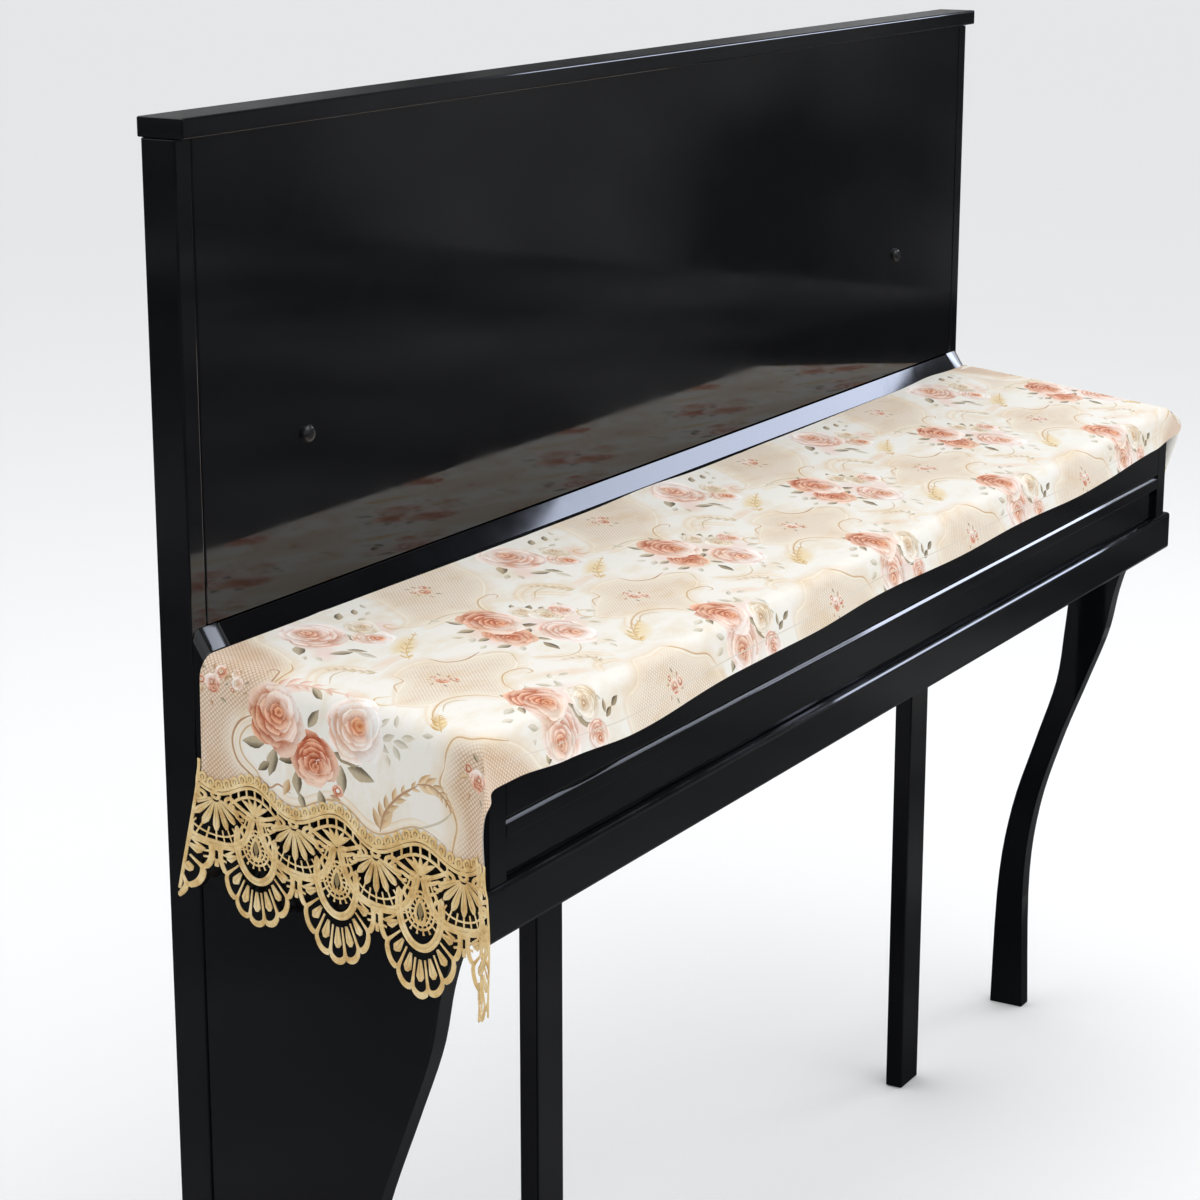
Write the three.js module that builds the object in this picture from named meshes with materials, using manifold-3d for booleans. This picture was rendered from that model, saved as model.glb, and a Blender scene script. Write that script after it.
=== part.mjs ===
// A printed keyboard cover with lace ends, lying over the closed lid of a plain black upright piano.
// Millimetres. While it is built, X runs from the lid's left end, Y from its front edge to the back
// and Z up from the key bed's top. The finished group stands on the floor, centred on its own box.
import * as THREE from 'three';
import loadManifold from 'manifold-3d';

const manifold = await loadManifold();
manifold.setup();

// Piano case
const LENGTH = 1500;
const FLOOR = -640;
const CASE_TOP = 577;
const CASE_BACK = 308;
const PANEL_FRONT = 275;
const BOARD = 20;
const BACK_BOARD = 12;
const SIDE_BOARD = 20;
const TOP_THICK = 16;
const TOP_OVERHANG = 2;
const TOP_NOSE = 10;
const FIT = 0.3;

// Key bed, cheeks and the closed lid
const BED_THICK = 43;
const BED_NOSE = 5;
const CHEEK = 32;
const LID_FRONT_Z = 124;
const LID_SLOPE = 28 / 256;
const LID_DEPTH = 263;
const LID_EDGE = 8;
const LIP_FOOT = 35;
const LIP_GROOVE = 3;
const GROOVE_UP = 14;
const STRIP_TOP = 171;
const SLIP_SETBACK = 5;

// Legs under the bed: the curved front leg by height, the side wing behind the left one and the
// inner legs. The right end is open under the bed.
const LEG_THICK = 20;
const LEG_FACETS = 36;
const LEG_CURVE = [
  { z: -BED_THICK - FIT, front: 11, back: 92 },
  { z: -58, front: 29, back: 93 },
  { z: -93, front: 41, back: 96 },
  { z: -146, front: 52, back: 101 },
  { z: -212, front: 76, back: 109 },
  { z: -290, front: 105, back: 133 },
  { z: -380, front: 131, back: 160 },
  { z: -480, front: 142, back: 175 },
  { z: FLOOR, front: 138, back: 180 },
];
const RIGHT_LEG_INSET = 30;
const WING_INSET = 2;
const WING_THICK = 16;
const INNER_LEG = { left: 363, right: 1171, front: 163, wide: 45, deep: 20 };

// Cloth: flat coordinates are s along the lid from its left end and t from its front edge to the
// back. Both run on past the lid's edges, down the ends and down the front.
const CLOTH_THICK = 2;
const CLOTH_LIFT = FIT + CLOTH_THICK / 2;
const FRONT_START = 8;
const FRONT_BEND = 12;
const FRONT_LEAN = 15;
const END_START = 6;
const END_BEND = 18;
const END_LEAN = 0.02;

// The two front corners: each stands out as a soft ear. Its azimuth turns deeper on the way down,
// its fold takes this much cloth to turn, and near the top it may be lifted.
const EAR_SPREAD = 8;
const EAR_LIFT = { from: 30, to: 110 };
const CORNERS = {
  left: { azimuth: 209, deeper: 18, from: 30, to: 170, foldTurn: 45, ridge: 9, lift: 0 },
  right: { azimuth: 186, deeper: -75, from: 35, to: 130, foldTurn: 38, ridge: 6, lift: 0.5 },
};
// How far each hanging end sways outward and forward, across its width, once it is this far down.
// The right end is tucked back at its front and hangs a little shorter.
const SWAY_FROM = { left: 98, right: 15 };
const SWAY_OVER = 120;
const RIGHT_SHORTER = 22;
const SWAY_MOST = 1.2;
const SWAY = {
  left: [
    { t: -70, out: 13, fore: 9 },
    { t: 5, out: 20, fore: 13 },
    { t: 50, out: 23, fore: 14 },
    { t: 128, out: 15, fore: 10 },
    { t: 206, out: 1, fore: 0 },
    { t: 240, out: 0, fore: 0 },
    { t: 270, out: 4, fore: -14 },
  ],
  right: [
    { t: -70, out: 9, fore: -24 },
    { t: 50, out: 12, fore: -22 },
    { t: 128, out: 10, fore: -4 },
    { t: 206, out: 5, fore: 0 },
    { t: 270, out: 6, fore: -8 },
  ],
};
// Low swells of the cloth: centre, reach along s and t, and rise off the piano
const SWELLS = [
  { s: 218, t: -48, reachS: 95, reachT: 36, rise: 5 },
  { s: 548, t: -46, reachS: 80, reachT: 32, rise: 4 },
  { s: 846, t: -44, reachS: 110, reachT: 36, rise: 6 },
  { s: 1165, t: -44, reachS: 90, reachT: 32, rise: 5 },
  { s: 700, t: 262, reachS: 70, reachT: 26, rise: 3 },
  { s: 1385, t: 232, reachS: 46, reachT: 34, rise: 5 },
  { s: -80, t: 172, reachS: 60, reachT: 26, rise: 5 },
  { s: -110, t: 88, reachS: 70, reachT: 24, rise: 4 },
  { s: 1590, t: 150, reachS: 70, reachT: 28, rise: 5 },
];
// The cloth's long edges, as uneven as they lie
const FRONT_HEM = [
  { s: -95, t: -48 },
  { s: -36, t: -38 },
  { s: 28, t: -38 },
  { s: 101, t: -43 },
  { s: 195, t: -47 },
  { s: 394, t: -43 },
  { s: 738, t: -38 },
  { s: 980, t: -39 },
  { s: 1261, t: -40 },
  { s: 1423, t: -35 },
  { s: 1487, t: -30 },
  { s: 1520, t: -29 },
];
const BACK_EDGE = [
  { s: -20, t: 259 },
  { s: 135, t: 258 },
  { s: 491, t: 255 },
  { s: 760, t: 254 },
  { s: 991, t: 257 },
  { s: 1254, t: 260 },
  { s: 1520, t: 261 },
];
// Grid lines of the cloth: offsets from the bends into the drops, then stations on the flat
const DROP_STEPS = [0, 4, 9, 14, 20, 28, 37, 46, 56];
const END_STEPS = [70, 85, 100];
const SHOULDER = 37;
const LENGTH_STATIONS = [60, 130, 210, 300, 400, 500, 600, 700, 800, 900, 1000, 1100, 1200, 1300, 1385, 1440];
const WIDTH_STATIONS = [
  18, 30, 40, 50, 62, 75, 88, 101, 114, 128, 141, 154, 167, 180, 193, 206, 219, 232, 245,
];

// Lace: one repeat is a crest of the heading with a scallop below it. Local x is along the heading
// from the crest, local y is down from it.
const LACE_THICK = 1.6;
const REPEAT = 78.5;
const FIRST_CREST = 206;
const REPEATS = 4;
const HEADING_WAVE = 7;
const HEADING_TALL = 12;
const LACE_OVER = 2;
const LACE_FLARE = 9;
const LACE_FACET = 1.5;
const GAP_MARGIN = 2;
const SEAM = 0.6;
const HEADING_LINE = [
  { t: -45, drop: 91 },
  { t: 45, drop: 97.6 },
  { t: 262, drop: 96.4 },
];
const SCALLOP = { y: 55, across: 38.5, down: 62, step: 19, notch: 76 };
const JOINT = { wide: 4.8, tall: 10, above: 8 };
const EYE = { y: 50, ring: 13, wide: 17.5, deep: 26, step: 24 };
const CUP = { y: 20, fan: 30, fanTaper: 11, band: 33.5, bandTaper: 3 };
const CUP_CELLS = [
  { from: 22, to: 38 },
  { from: 41, to: 56 },
  { from: 59, to: 73 },
  { from: 76, to: 92 },
];
const NET_GAPS = [
  { x: 4.5, y: 6.5, wide: 6, tall: 5.4 },
  { x: 12.5, y: 9, wide: 6, tall: 6 },
  { x: 20.5, y: 13, wide: 6, tall: 5.6 },
];
// One lobe of the scallop, as shares of its radius and degrees to each side: its gap and its edge
const LOBE_GAP = [
  { share: 0.79, turn: -6.5 },
  { share: 0.84, turn: 0 },
  { share: 0.79, turn: 6.5 },
  { share: 0.905, turn: 6 },
  { share: 0.925, turn: 0 },
  { share: 0.905, turn: -6 },
];
const LOBE_EDGE = [
  { share: 0.94, turn: 9.5 },
  { share: 0.99, turn: 5 },
  { share: 0.99, turn: -5 },
];

const clamp01 = (k) => Math.min(1, Math.max(0, k));
const radians = THREE.MathUtils.degToRad;

function smooth(from, to, value) {
  const k = clamp01((value - from) / (to - from));
  return k * k * (3 - 2 * k);
}

// Reads one column of a table, eased between its rows
function readTable(rows, key, at, column) {
  if (at <= rows[0][key]) return rows[0][column];
  for (let i = 1; i < rows.length; i += 1) {
    const [a, b] = [rows[i - 1], rows[i]];
    if (at <= b[key]) return a[column] + (b[column] - a[column]) * smooth(a[key], b[key], at);
  }
  return rows[rows.length - 1][column];
}

const lidTop = (y) => LID_FRONT_Z + LID_SLOPE * y;
const frontHem = (s) => readTable(FRONT_HEM, 's', s, 't');
const backEdge = (s) => readTable(BACK_EDGE, 's', s, 't');

// Where a point of the flat cloth lies on the piano. Past an edge the cloth bends and hangs. At a
// front corner the spare quarter of cloth is a cone from the corner, folded out into an ear.
function drape(s, t) {
  const isLeft = s < LENGTH / 2;
  const side = isLeft ? 'left' : 'right';
  const corner = CORNERS[side];
  const u = isLeft ? s : LENGTH - s;
  const overEnd = Math.max(0, END_START - u);
  const overFront = Math.max(0, FRONT_START - t);
  const reach = Math.hypot(overEnd, overFront);
  const angle = reach > 0 ? Math.atan2(overFront, overEnd) : 0;
  const towardsEnd = Math.cos(angle) ** 2;
  const towardsFront = Math.sin(angle) ** 2;

  const degrees = THREE.MathUtils.radToDeg(angle);
  const ridge = Math.hypot(degrees - 45, corner.ridge);
  const lifted = 1 + corner.lift * (1 - smooth(EAR_LIFT.from, EAR_LIFT.to, reach));
  const stand = radians(Math.hypot(45, corner.ridge) - ridge) * lifted;
  const bend = END_BEND * towardsEnd + FRONT_BEND * towardsFront;
  const lean = radians(FRONT_LEAN) * towardsFront;
  const fullTurn = Math.PI / 2 - stand - lean;
  const turned = Math.min(reach / bend, fullTurn);
  const hang = Math.max(0, reach - bend * fullTurn);
  const fallen = hang * Math.cos(stand);

  let azimuth = corner.azimuth + (EAR_SPREAD * (degrees - 45)) / ridge;
  azimuth += corner.deeper * smooth(corner.from, corner.to, reach);
  azimuth += (270 - azimuth) * towardsEnd * (1 - smooth(0, corner.foldTurn, overFront));
  azimuth += (180 - azimuth) * towardsFront * (1 - smooth(0, corner.foldTurn, overEnd));
  const outward = hang * Math.sin(stand);

  const low = Math.min(SWAY_MOST, Math.max(0, (overEnd - SWAY_FROM[side]) / SWAY_OVER));
  const swayOut = readTable(SWAY[side], 't', t, 'out') * low + END_LEAN * hang * towardsEnd;
  const swayFore = readTable(SWAY[side], 't', t, 'fore') * low + fallen * Math.sin(lean);

  let swell = 0;
  for (const row of SWELLS) {
    swell += row.rise * Math.exp(-(((s - row.s) / row.reachS) ** 2) - ((t - row.t) / row.reachT) ** 2);
  }
  const onFront = smooth(FRONT_START, -14, t);
  const onEnd = smooth(END_START, -26, u);
  const onTop = (1 - onFront) * (1 - onEnd);

  const bendOut = bend * Math.sin(turned);
  const x = Math.max(u, END_START) - bendOut * Math.cos(angle) + outward * Math.cos(radians(azimuth));
  const y = Math.max(t, FRONT_START) - bendOut * Math.sin(angle) + outward * Math.sin(radians(azimuth));
  const z = lidTop(Math.max(t, 0)) + CLOTH_LIFT - bend * (1 - Math.cos(turned)) - fallen * Math.cos(lean);
  const xHung = x - swayOut - swell * onEnd;
  return new THREE.Vector3(
    isLeft ? xHung : LENGTH - xHung,
    y - swayFore - swell * onFront * (1 - onEnd),
    z + swell * onTop,
  );
}

function drapeNormal(s, t) {
  const h = 0.5;
  const alongS = drape(s + h, t).sub(drape(s - h, t));
  const alongT = drape(s, t + h).sub(drape(s, t - h));
  return alongS.cross(alongT).normalize();
}

function meshFrom(positions, indices) {
  const geometry = new THREE.BufferGeometry();
  geometry.setAttribute('position', new THREE.Float32BufferAttribute(positions, 3));
  geometry.setIndex(indices);
  geometry.computeVertexNormals();
  return geometry;
}

// A closed sheet of even thickness over triangles in the cloth's flat coordinates
function sheetSolid(flat, triangles, thickness) {
  const positions = [];
  for (const offset of [thickness / 2, -thickness / 2]) {
    for (const [s, t] of flat) {
      positions.push(...drape(s, t).addScaledVector(drapeNormal(s, t), offset));
    }
  }
  const under = flat.length;
  const indices = [];
  const rim = new Map();
  for (const [a, b, c] of triangles) {
    indices.push(a, b, c, under + c, under + b, under + a);
    for (const [i, j] of [[a, b], [b, c], [c, a]]) {
      if (!rim.delete(`${j},${i}`)) rim.set(`${i},${j}`, [i, j]);
    }
  }
  for (const [i, j] of rim.values()) {
    indices.push(i, under + i, j, j, under + i, under + j);
  }
  return meshFrom(positions, indices);
}

// Halves every edge whose middle lies off the drape, until the facets follow it
function followDrape(flat, triangles, tolerance) {
  const needsHalf = ([s0, t0], [s1, t1]) => {
    const chord = drape(s0, t0).add(drape(s1, t1)).multiplyScalar(0.5);
    return chord.distanceTo(drape((s0 + s1) / 2, (t0 + t1) / 2)) > tolerance;
  };
  let current = triangles;
  for (let pass = 0; pass < 5; pass += 1) {
    const middles = new Map();
    const middle = (i, j) => {
      const key = i < j ? `${i},${j}` : `${j},${i}`;
      if (!middles.has(key)) {
        const split = needsHalf(flat[i], flat[j]);
        if (split) flat.push([(flat[i][0] + flat[j][0]) / 2, (flat[i][1] + flat[j][1]) / 2]);
        middles.set(key, split ? flat.length - 1 : -1);
      }
      return middles.get(key);
    };
    const next = [];
    for (const [a, b, c] of current) {
      const corners = [a, b, c];
      const halves = [middle(a, b), middle(b, c), middle(c, a)];
      const outline = corners.flatMap((corner, i) => (halves[i] < 0 ? [corner] : [corner, halves[i]]));
      if (outline.length === 6) {
        next.push([a, halves[0], halves[2]], [b, halves[1], halves[0]], [c, halves[2], halves[1]], halves);
      } else {
        const from = Math.max(0, outline.findIndex((i) => !corners.includes(i)));
        const turned = [...outline.slice(from), ...outline.slice(0, from)];
        for (let i = 1; i + 1 < turned.length; i += 1) next.push([turned[0], turned[i], turned[i + 1]]);
      }
    }
    if (next.length === current.length) break;
    current = next;
  }
  return current;
}

// Lace heading: how far below the lid's end its crests lie, and the wave that it follows
const crestDrop = (t) => readTable(HEADING_LINE, 't', t, 'drop');
const headingTop = (t) => {
  const phase = (2 * Math.PI * (t - FIRST_CREST)) / REPEAT;
  return crestDrop(t) + HEADING_WAVE * (1 - Math.cos(phase)) - HEADING_TALL;
};

// The cloth's columns run along s. They close up where the front hem or the back edge draws in.
const COLUMNS = [
  ...DROP_STEPS.map((step) => FRONT_START - step).reverse(),
  ...WIDTH_STATIONS,
  BACK_EDGE[0].t,
];

function columnAt(s, t) {
  if (t < 0) return (t * frontHem(s)) / FRONT_HEM[0].t;
  if (t < FIRST_CREST) return t;
  const share = (t - FIRST_CREST) / (BACK_EDGE[0].t - FIRST_CREST);
  return FIRST_CREST + share * (backEdge(s) - FIRST_CREST);
}

// A grid line across a hanging end: the last one lies along the lace heading
function endLine(step, t, shorter) {
  const last = END_STEPS[END_STEPS.length - 1];
  const edge = END_START + headingTop(t) - SEAM - shorter;
  return step <= SHOULDER ? step : SHOULDER + ((step - SHOULDER) * (edge - SHOULDER)) / (last - SHOULDER);
}

function clothSolid() {
  const steps = [...DROP_STEPS, ...END_STEPS];
  const rows = [
    ...steps.toReversed().map((step) => (t) => [END_START - endLine(step, t, 0), columnAt(-step, t)]),
    ...LENGTH_STATIONS.map((s) => (t) => [s, columnAt(s, t)]),
    ...steps.map((step) => (t) => {
      const column = columnAt(LENGTH + step, t);
      return [LENGTH - END_START + endLine(step, column, RIGHT_SHORTER), column];
    }),
  ];
  const flat = rows.flatMap((row) => COLUMNS.map(row));
  const across = COLUMNS.length;
  const triangles = [];
  for (let i = 0; i + 1 < rows.length; i += 1) {
    for (let j = 0; j + 1 < across; j += 1) {
      const a = i * across + j;
      const b = a + across;
      triangles.push([a, b, b + 1], [a, b + 1, a + 1]);
    }
  }
  return sheetSolid(flat, triangles, CLOTH_THICK);
}

// Gaps of one lace repeat, as outlines in local x and y
const polar = (x, y, wide, tall, degrees) => [
  x + wide * Math.sin(radians(degrees)),
  y + tall * Math.cos(radians(degrees)),
];
const inScallop = (share, degrees) => (
  polar(0, SCALLOP.y, share * SCALLOP.across, share * SCALLOP.down, degrees)
);

function netGaps() {
  return NET_GAPS.flatMap(({ x, y, wide, tall }) => [-x, x].map((middle) => [
    [middle - wide / 2, y - tall / 2],
    [middle + wide / 2, y - tall / 2],
    [middle + wide / 2, y + tall / 2],
    [middle - wide / 2, y + tall / 2],
  ]));
}

function cupGaps() {
  const fan = (degrees) => CUP.fan - CUP.fanTaper * Math.sin(radians(degrees)) ** 2;
  const band = (degrees) => CUP.band - CUP.bandTaper * Math.sin(radians(degrees)) ** 2;
  return CUP_CELLS.flatMap(({ from, to }) => [-1, 1].map((side) => [
    [fan, from], [band, from], [band, to], [fan, to],
  ].map(([radius, degrees]) => polar(REPEAT / 2, CUP.y, radius(degrees), radius(degrees), side * degrees))));
}

function eyeGap() {
  const angles = [-4, -3, -2, -1, 0, 1, 2, 3, 4].map((i) => i * EYE.step);
  const inner = angles.map((degrees) => polar(0, EYE.y, EYE.ring, EYE.ring, degrees));
  const outer = angles.map((degrees) => polar(0, EYE.y, EYE.wide, EYE.deep, degrees));
  return [...inner, ...outer.reverse()];
}

function scallopGaps() {
  return [-4, -3, -2, -1, 0, 1, 2, 3, 4].map((lobe) => {
    const middle = lobe * SCALLOP.step;
    return LOBE_GAP.map(({ share, turn }) => inScallop(share, middle + turn));
  });
}

// The diamond between neighbouring scallops, just above the notch
function jointGap() {
  const { wide, tall, above } = JOINT;
  const [x, y] = [REPEAT / 2, SCALLOP.notch - above];
  return [[x - wide / 2, y], [x, y - tall / 2], [x + wide / 2, y], [x, y + tall / 2]];
}

function repeatGaps() {
  return [...netGaps(), ...cupGaps(), eyeGap(), ...scallopGaps(), jointGap()];
}

// Turns flat triangles so that all of them run counterclockwise
function facesUp(flat, triangles) {
  return triangles.map(([i, j, k]) => {
    const [a, b, c] = [flat[i], flat[j], flat[k]];
    const area = (b[0] - a[0]) * (c[1] - a[1]) - (c[0] - a[0]) * (b[1] - a[1]);
    return area > 0 ? [i, j, k] : [i, k, j];
  });
}

// The scalloped lower edge, from the last repeat that is cut off at the back to the front
function scallopEdge(from, to) {
  const edge = [];
  for (let k = -1; k < REPEATS; k += 1) {
    const crest = FIRST_CREST - k * REPEAT;
    for (let lobe = 3; lobe >= -3; lobe -= 1) {
      for (const { share, turn } of LOBE_EDGE) {
        const [x, y] = inScallop(share, lobe * SCALLOP.step + turn);
        edge.push([crest + x, y]);
      }
    }
    edge.push([crest - REPEAT / 2, SCALLOP.notch]);
  }
  const cutAt = (t) => {
    const after = edge.findIndex((point) => point[0] < t);
    const [a, b] = [edge[after - 1], edge[after]];
    return [t, a[1] + ((b[1] - a[1]) * (a[0] - t)) / (a[0] - b[0])];
  };
  return [cutAt(to), ...edge.filter(([t]) => t < to - 1 && t > from + 1), cutAt(from)];
}

function laceSolid(side) {
  const isLeft = side === 'left';
  const past = isLeft ? FRONT_HEM[0].s : FRONT_HEM[FRONT_HEM.length - 1].s;
  const from = frontHem(past) - LACE_OVER;
  const to = backEdge(past) + LACE_OVER;
  const heading = [from, ...COLUMNS.map((t) => columnAt(past, t)), to];
  const outline = [
    ...heading.map((t) => [t, headingTop(t)]),
    ...scallopEdge(from - LACE_FLARE, to + LACE_FLARE).map(([t, y]) => [t, crestDrop(t) + y]),
  ];
  const gaps = [];
  for (let k = -1; k <= REPEATS; k += 1) {
    const crest = FIRST_CREST - k * REPEAT;
    for (const gap of repeatGaps()) {
      const placed = gap.map(([x, y]) => [crest + x, crestDrop(crest + x) + y]);
      if (placed.every(([t]) => t > from + GAP_MARGIN && t < to - GAP_MARGIN)) gaps.push(placed);
    }
  }
  const isHole = (points) => THREE.ShapeUtils.isClockWise(points.map(([t, drop]) => ({ x: t, y: drop })));
  const holes = gaps.map((gap) => (isHole(gap) ? gap : gap.toReversed()));
  const faces = manifold.triangulate([outline, ...holes]);
  const hung = (drop) => (isLeft ? -drop : LENGTH - RIGHT_SHORTER + drop);
  const flat = [...outline, ...holes.flat()].map(([t, drop]) => [hung(drop), t]);
  const triangles = followDrape(flat, facesUp(flat, faces), LACE_FACET);
  return sheetSolid(flat, triangles, LACE_THICK);
}

// Boards of the piano
function box(x, y, z) {
  const geometry = new THREE.BoxGeometry(x[1] - x[0], y[1] - y[0], z[1] - z[0]);
  return geometry.translate((x[0] + x[1]) / 2, (y[0] + y[1]) / 2, (z[0] + z[1]) / 2);
}

// A section in Y and Z, carried along X
function alongX(section, from, to) {
  const shape = new THREE.Shape(section.map(([y, z]) => new THREE.Vector2(y, z)));
  const geometry = new THREE.ExtrudeGeometry(shape, { depth: to - from, bevelEnabled: false });
  const [X, Y, Z] = [new THREE.Vector3(1, 0, 0), new THREE.Vector3(0, 1, 0), new THREE.Vector3(0, 0, 1)];
  return geometry.applyMatrix4(new THREE.Matrix4().makeBasis(Y, Z, X)).translate(from, 0, 0);
}

const rounding = [90, 60, 30, 0].map(radians);

// The lid's upper outline in Y and Z, drawn in by an inset: up the front, round the edge, to the back
function lidOutline(inset) {
  const r = LID_EDGE;
  const edge = rounding.map((a) => [r - r * Math.sin(a) + inset, LID_FRONT_Z - r + r * Math.cos(a) - inset]);
  return [...edge, [LID_DEPTH, lidTop(LID_DEPTH) - inset], [PANEL_FRONT - FIT, STRIP_TOP - inset]];
}

function cheekSolid(isLeft) {
  const sections = [
    { x: CHEEK, inset: 0 },
    { x: LID_EDGE, inset: 0 },
    { x: LID_EDGE * (1 - Math.SQRT1_2), inset: LID_EDGE * (1 - Math.SQRT1_2) },
    { x: 0, inset: LID_EDGE },
  ];
  const rings = sections.map(({ x, inset }) => {
    const outline = [...lidOutline(inset), [PANEL_FRONT - FIT, FIT], [inset, FIT]];
    return outline.map(([y, z]) => [isLeft ? x : LENGTH - x, y, z]);
  });
  const around = rings[0].length;
  const face = rings[0].map(([, y, z]) => [y, z]);
  const flatFaces = THREE.ShapeUtils.triangulateShape(face.map(([y, z]) => new THREE.Vector2(y, z)), []);
  const indices = [];
  for (let i = 0; i + 1 < rings.length; i += 1) {
    for (let j = 0; j < around; j += 1) {
      const [a, b] = [i * around + j, i * around + ((j + 1) % around)];
      indices.push(a, b, a + around, b, b + around, a + around);
    }
  }
  const last = (rings.length - 1) * around;
  for (const [a, b, c] of facesUp(face, flatFaces)) indices.push(a, b, c, last + a, last + c, last + b);
  const geometry = meshFrom(rings.flat(2), indices);
  return outwardFacing(geometry);
}

// Turns a closed surface right side out where its winding encloses a negative volume
function outwardFacing(geometry) {
  const [at, index] = [geometry.getAttribute('position'), geometry.getIndex().array];
  const corner = (i) => new THREE.Vector3().fromBufferAttribute(at, index[i]);
  let volume = 0;
  for (let i = 0; i < index.length; i += 3) volume += corner(i).dot(corner(i + 1).cross(corner(i + 2)));
  if (volume < 0) index.reverse();
  return geometry;
}

function lidSolid() {
  const outline = lidOutline(0).slice(0, -1);
  const groove = LIP_FOOT + GROOVE_UP;
  return alongX([
    ...outline,
    [LID_DEPTH, lidTop(LID_DEPTH) - BOARD],
    [BOARD, LID_FRONT_Z - BOARD],
    [BOARD, LIP_FOOT],
    [0, LIP_FOOT],
    [0, groove - LIP_GROOVE],
    [LIP_GROOVE, groove],
    [0, groove + LIP_GROOVE],
  ], CHEEK + FIT, LENGTH - CHEEK - FIT);
}

function bedSolid() {
  const inner = SIDE_BOARD + FIT;
  const outline = [
    [-BED_NOSE, -BED_NOSE],
    [LENGTH + BED_NOSE, -BED_NOSE],
    [LENGTH + BED_NOSE, PANEL_FRONT - FIT],
    [LENGTH - inner, PANEL_FRONT - FIT],
    [LENGTH - inner, CASE_BACK],
    [inner, CASE_BACK],
    [inner, PANEL_FRONT - FIT],
    [-BED_NOSE, PANEL_FRONT - FIT],
  ];
  const shape = new THREE.Shape(outline.map(([x, y]) => new THREE.Vector2(x, y)));
  const geometry = new THREE.ExtrudeGeometry(shape, { depth: BED_THICK, bevelEnabled: false });
  return geometry.translate(0, 0, -BED_THICK);
}

// One face of the curved leg from the bed to the floor, set back by an offset
function legFace(column, offset) {
  const curve = new THREE.SplineCurve(LEG_CURVE.map((row) => new THREE.Vector2(row[column] + offset, row.z)));
  return curve.getPoints(LEG_FACETS).map(({ x, y }) => [x, y]);
}

function legSection() {
  return [...legFace('front', 0), ...legFace('back', 0).reverse()];
}

function wingSection() {
  const front = legFace('back', FIT);
  return [...front, [PANEL_FRONT - FIT, FLOOR], [PANEL_FRONT - FIT, LEG_CURVE[0].z]];
}

function innerLeg(x) {
  return box(
    [x - INNER_LEG.wide / 2, x + INNER_LEG.wide / 2],
    [INNER_LEG.front, INNER_LEG.front + INNER_LEG.deep],
    [FLOOR, LEG_CURVE[0].z],
  );
}

const lacquer = new THREE.MeshStandardMaterial({ color: 0x0e0f12, roughness: 0.08, metalness: 0 });
const printedCloth = new THREE.MeshStandardMaterial({ color: 0xefe3d3, roughness: 0.75, metalness: 0 });
const goldLace = new THREE.MeshStandardMaterial({ color: 0xd9bb83, roughness: 0.8, metalness: 0 });

const inside = [SIDE_BOARD + FIT, LENGTH - SIDE_BOARD - FIT];
const betweenCheeks = [CHEEK + FIT, LENGTH - CHEEK - FIT];
const underTop = CASE_TOP - TOP_THICK - FIT;
const rightLeg = LENGTH - RIGHT_LEG_INSET;
const strip = [
  [LID_DEPTH + FIT, LID_FRONT_Z],
  [PANEL_FRONT - FIT, LID_FRONT_Z],
  [PANEL_FRONT - FIT, STRIP_TOP],
  [LID_DEPTH + FIT, lidTop(LID_DEPTH) + FIT],
];

const pieces = {
  case_side_left: [box([0, SIDE_BOARD], [PANEL_FRONT, CASE_BACK], [FLOOR, underTop]), lacquer],
  case_side_right: [
    box([LENGTH - SIDE_BOARD, LENGTH], [PANEL_FRONT, CASE_BACK], [-BED_THICK, underTop]),
    lacquer,
  ],
  upper_panel: [box(inside, [PANEL_FRONT, PANEL_FRONT + BOARD], [STRIP_TOP, underTop]), lacquer],
  back_panel: [box(inside, [CASE_BACK - BACK_BOARD, CASE_BACK], [FIT, underTop]), lacquer],
  top_board: [
    box(
      [-TOP_OVERHANG, LENGTH + TOP_OVERHANG],
      [PANEL_FRONT - TOP_NOSE, CASE_BACK + TOP_OVERHANG],
      [CASE_TOP - TOP_THICK, CASE_TOP],
    ),
    lacquer,
  ],
  key_bed: [bedSolid(), lacquer],
  key_slip: [box(betweenCheeks, [SLIP_SETBACK, SLIP_SETBACK + BOARD], [FIT, LIP_FOOT - FIT]), lacquer],
  cheek_left: [cheekSolid(true), lacquer],
  cheek_right: [cheekSolid(false), lacquer],
  lid: [lidSolid(), lacquer],
  fall_strip: [alongX(strip, ...betweenCheeks), lacquer],
  leg_left: [alongX(legSection(), 0, LEG_THICK), lacquer],
  leg_right: [alongX(legSection(), rightLeg - LEG_THICK, rightLeg), lacquer],
  wing_left: [alongX(wingSection(), WING_INSET, WING_INSET + WING_THICK), lacquer],
  inner_leg_left: [innerLeg(INNER_LEG.left), lacquer],
  inner_leg_right: [innerLeg(INNER_LEG.right), lacquer],
  cover_cloth: [clothSolid(), printedCloth],
  lace_left: [laceSolid('left'), goldLace],
  lace_right: [laceSolid('right'), goldLace],
};

const covered = new THREE.Group();
for (const [name, [geometry, material]] of Object.entries(pieces)) {
  const mesh = new THREE.Mesh(geometry, material);
  mesh.name = name;
  covered.add(mesh);
}
const size = new THREE.Box3().setFromObject(covered);
covered.position.set(-(size.min.x + size.max.x) / 2, -(size.min.y + size.max.y) / 2, -size.min.z);

const part = new THREE.Group();
part.add(covered);

export default part;
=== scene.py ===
import math
import random

import bmesh
import bpy
import numpy as np
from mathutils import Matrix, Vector
from mathutils.geometry import delaunay_2d_cdt


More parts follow.
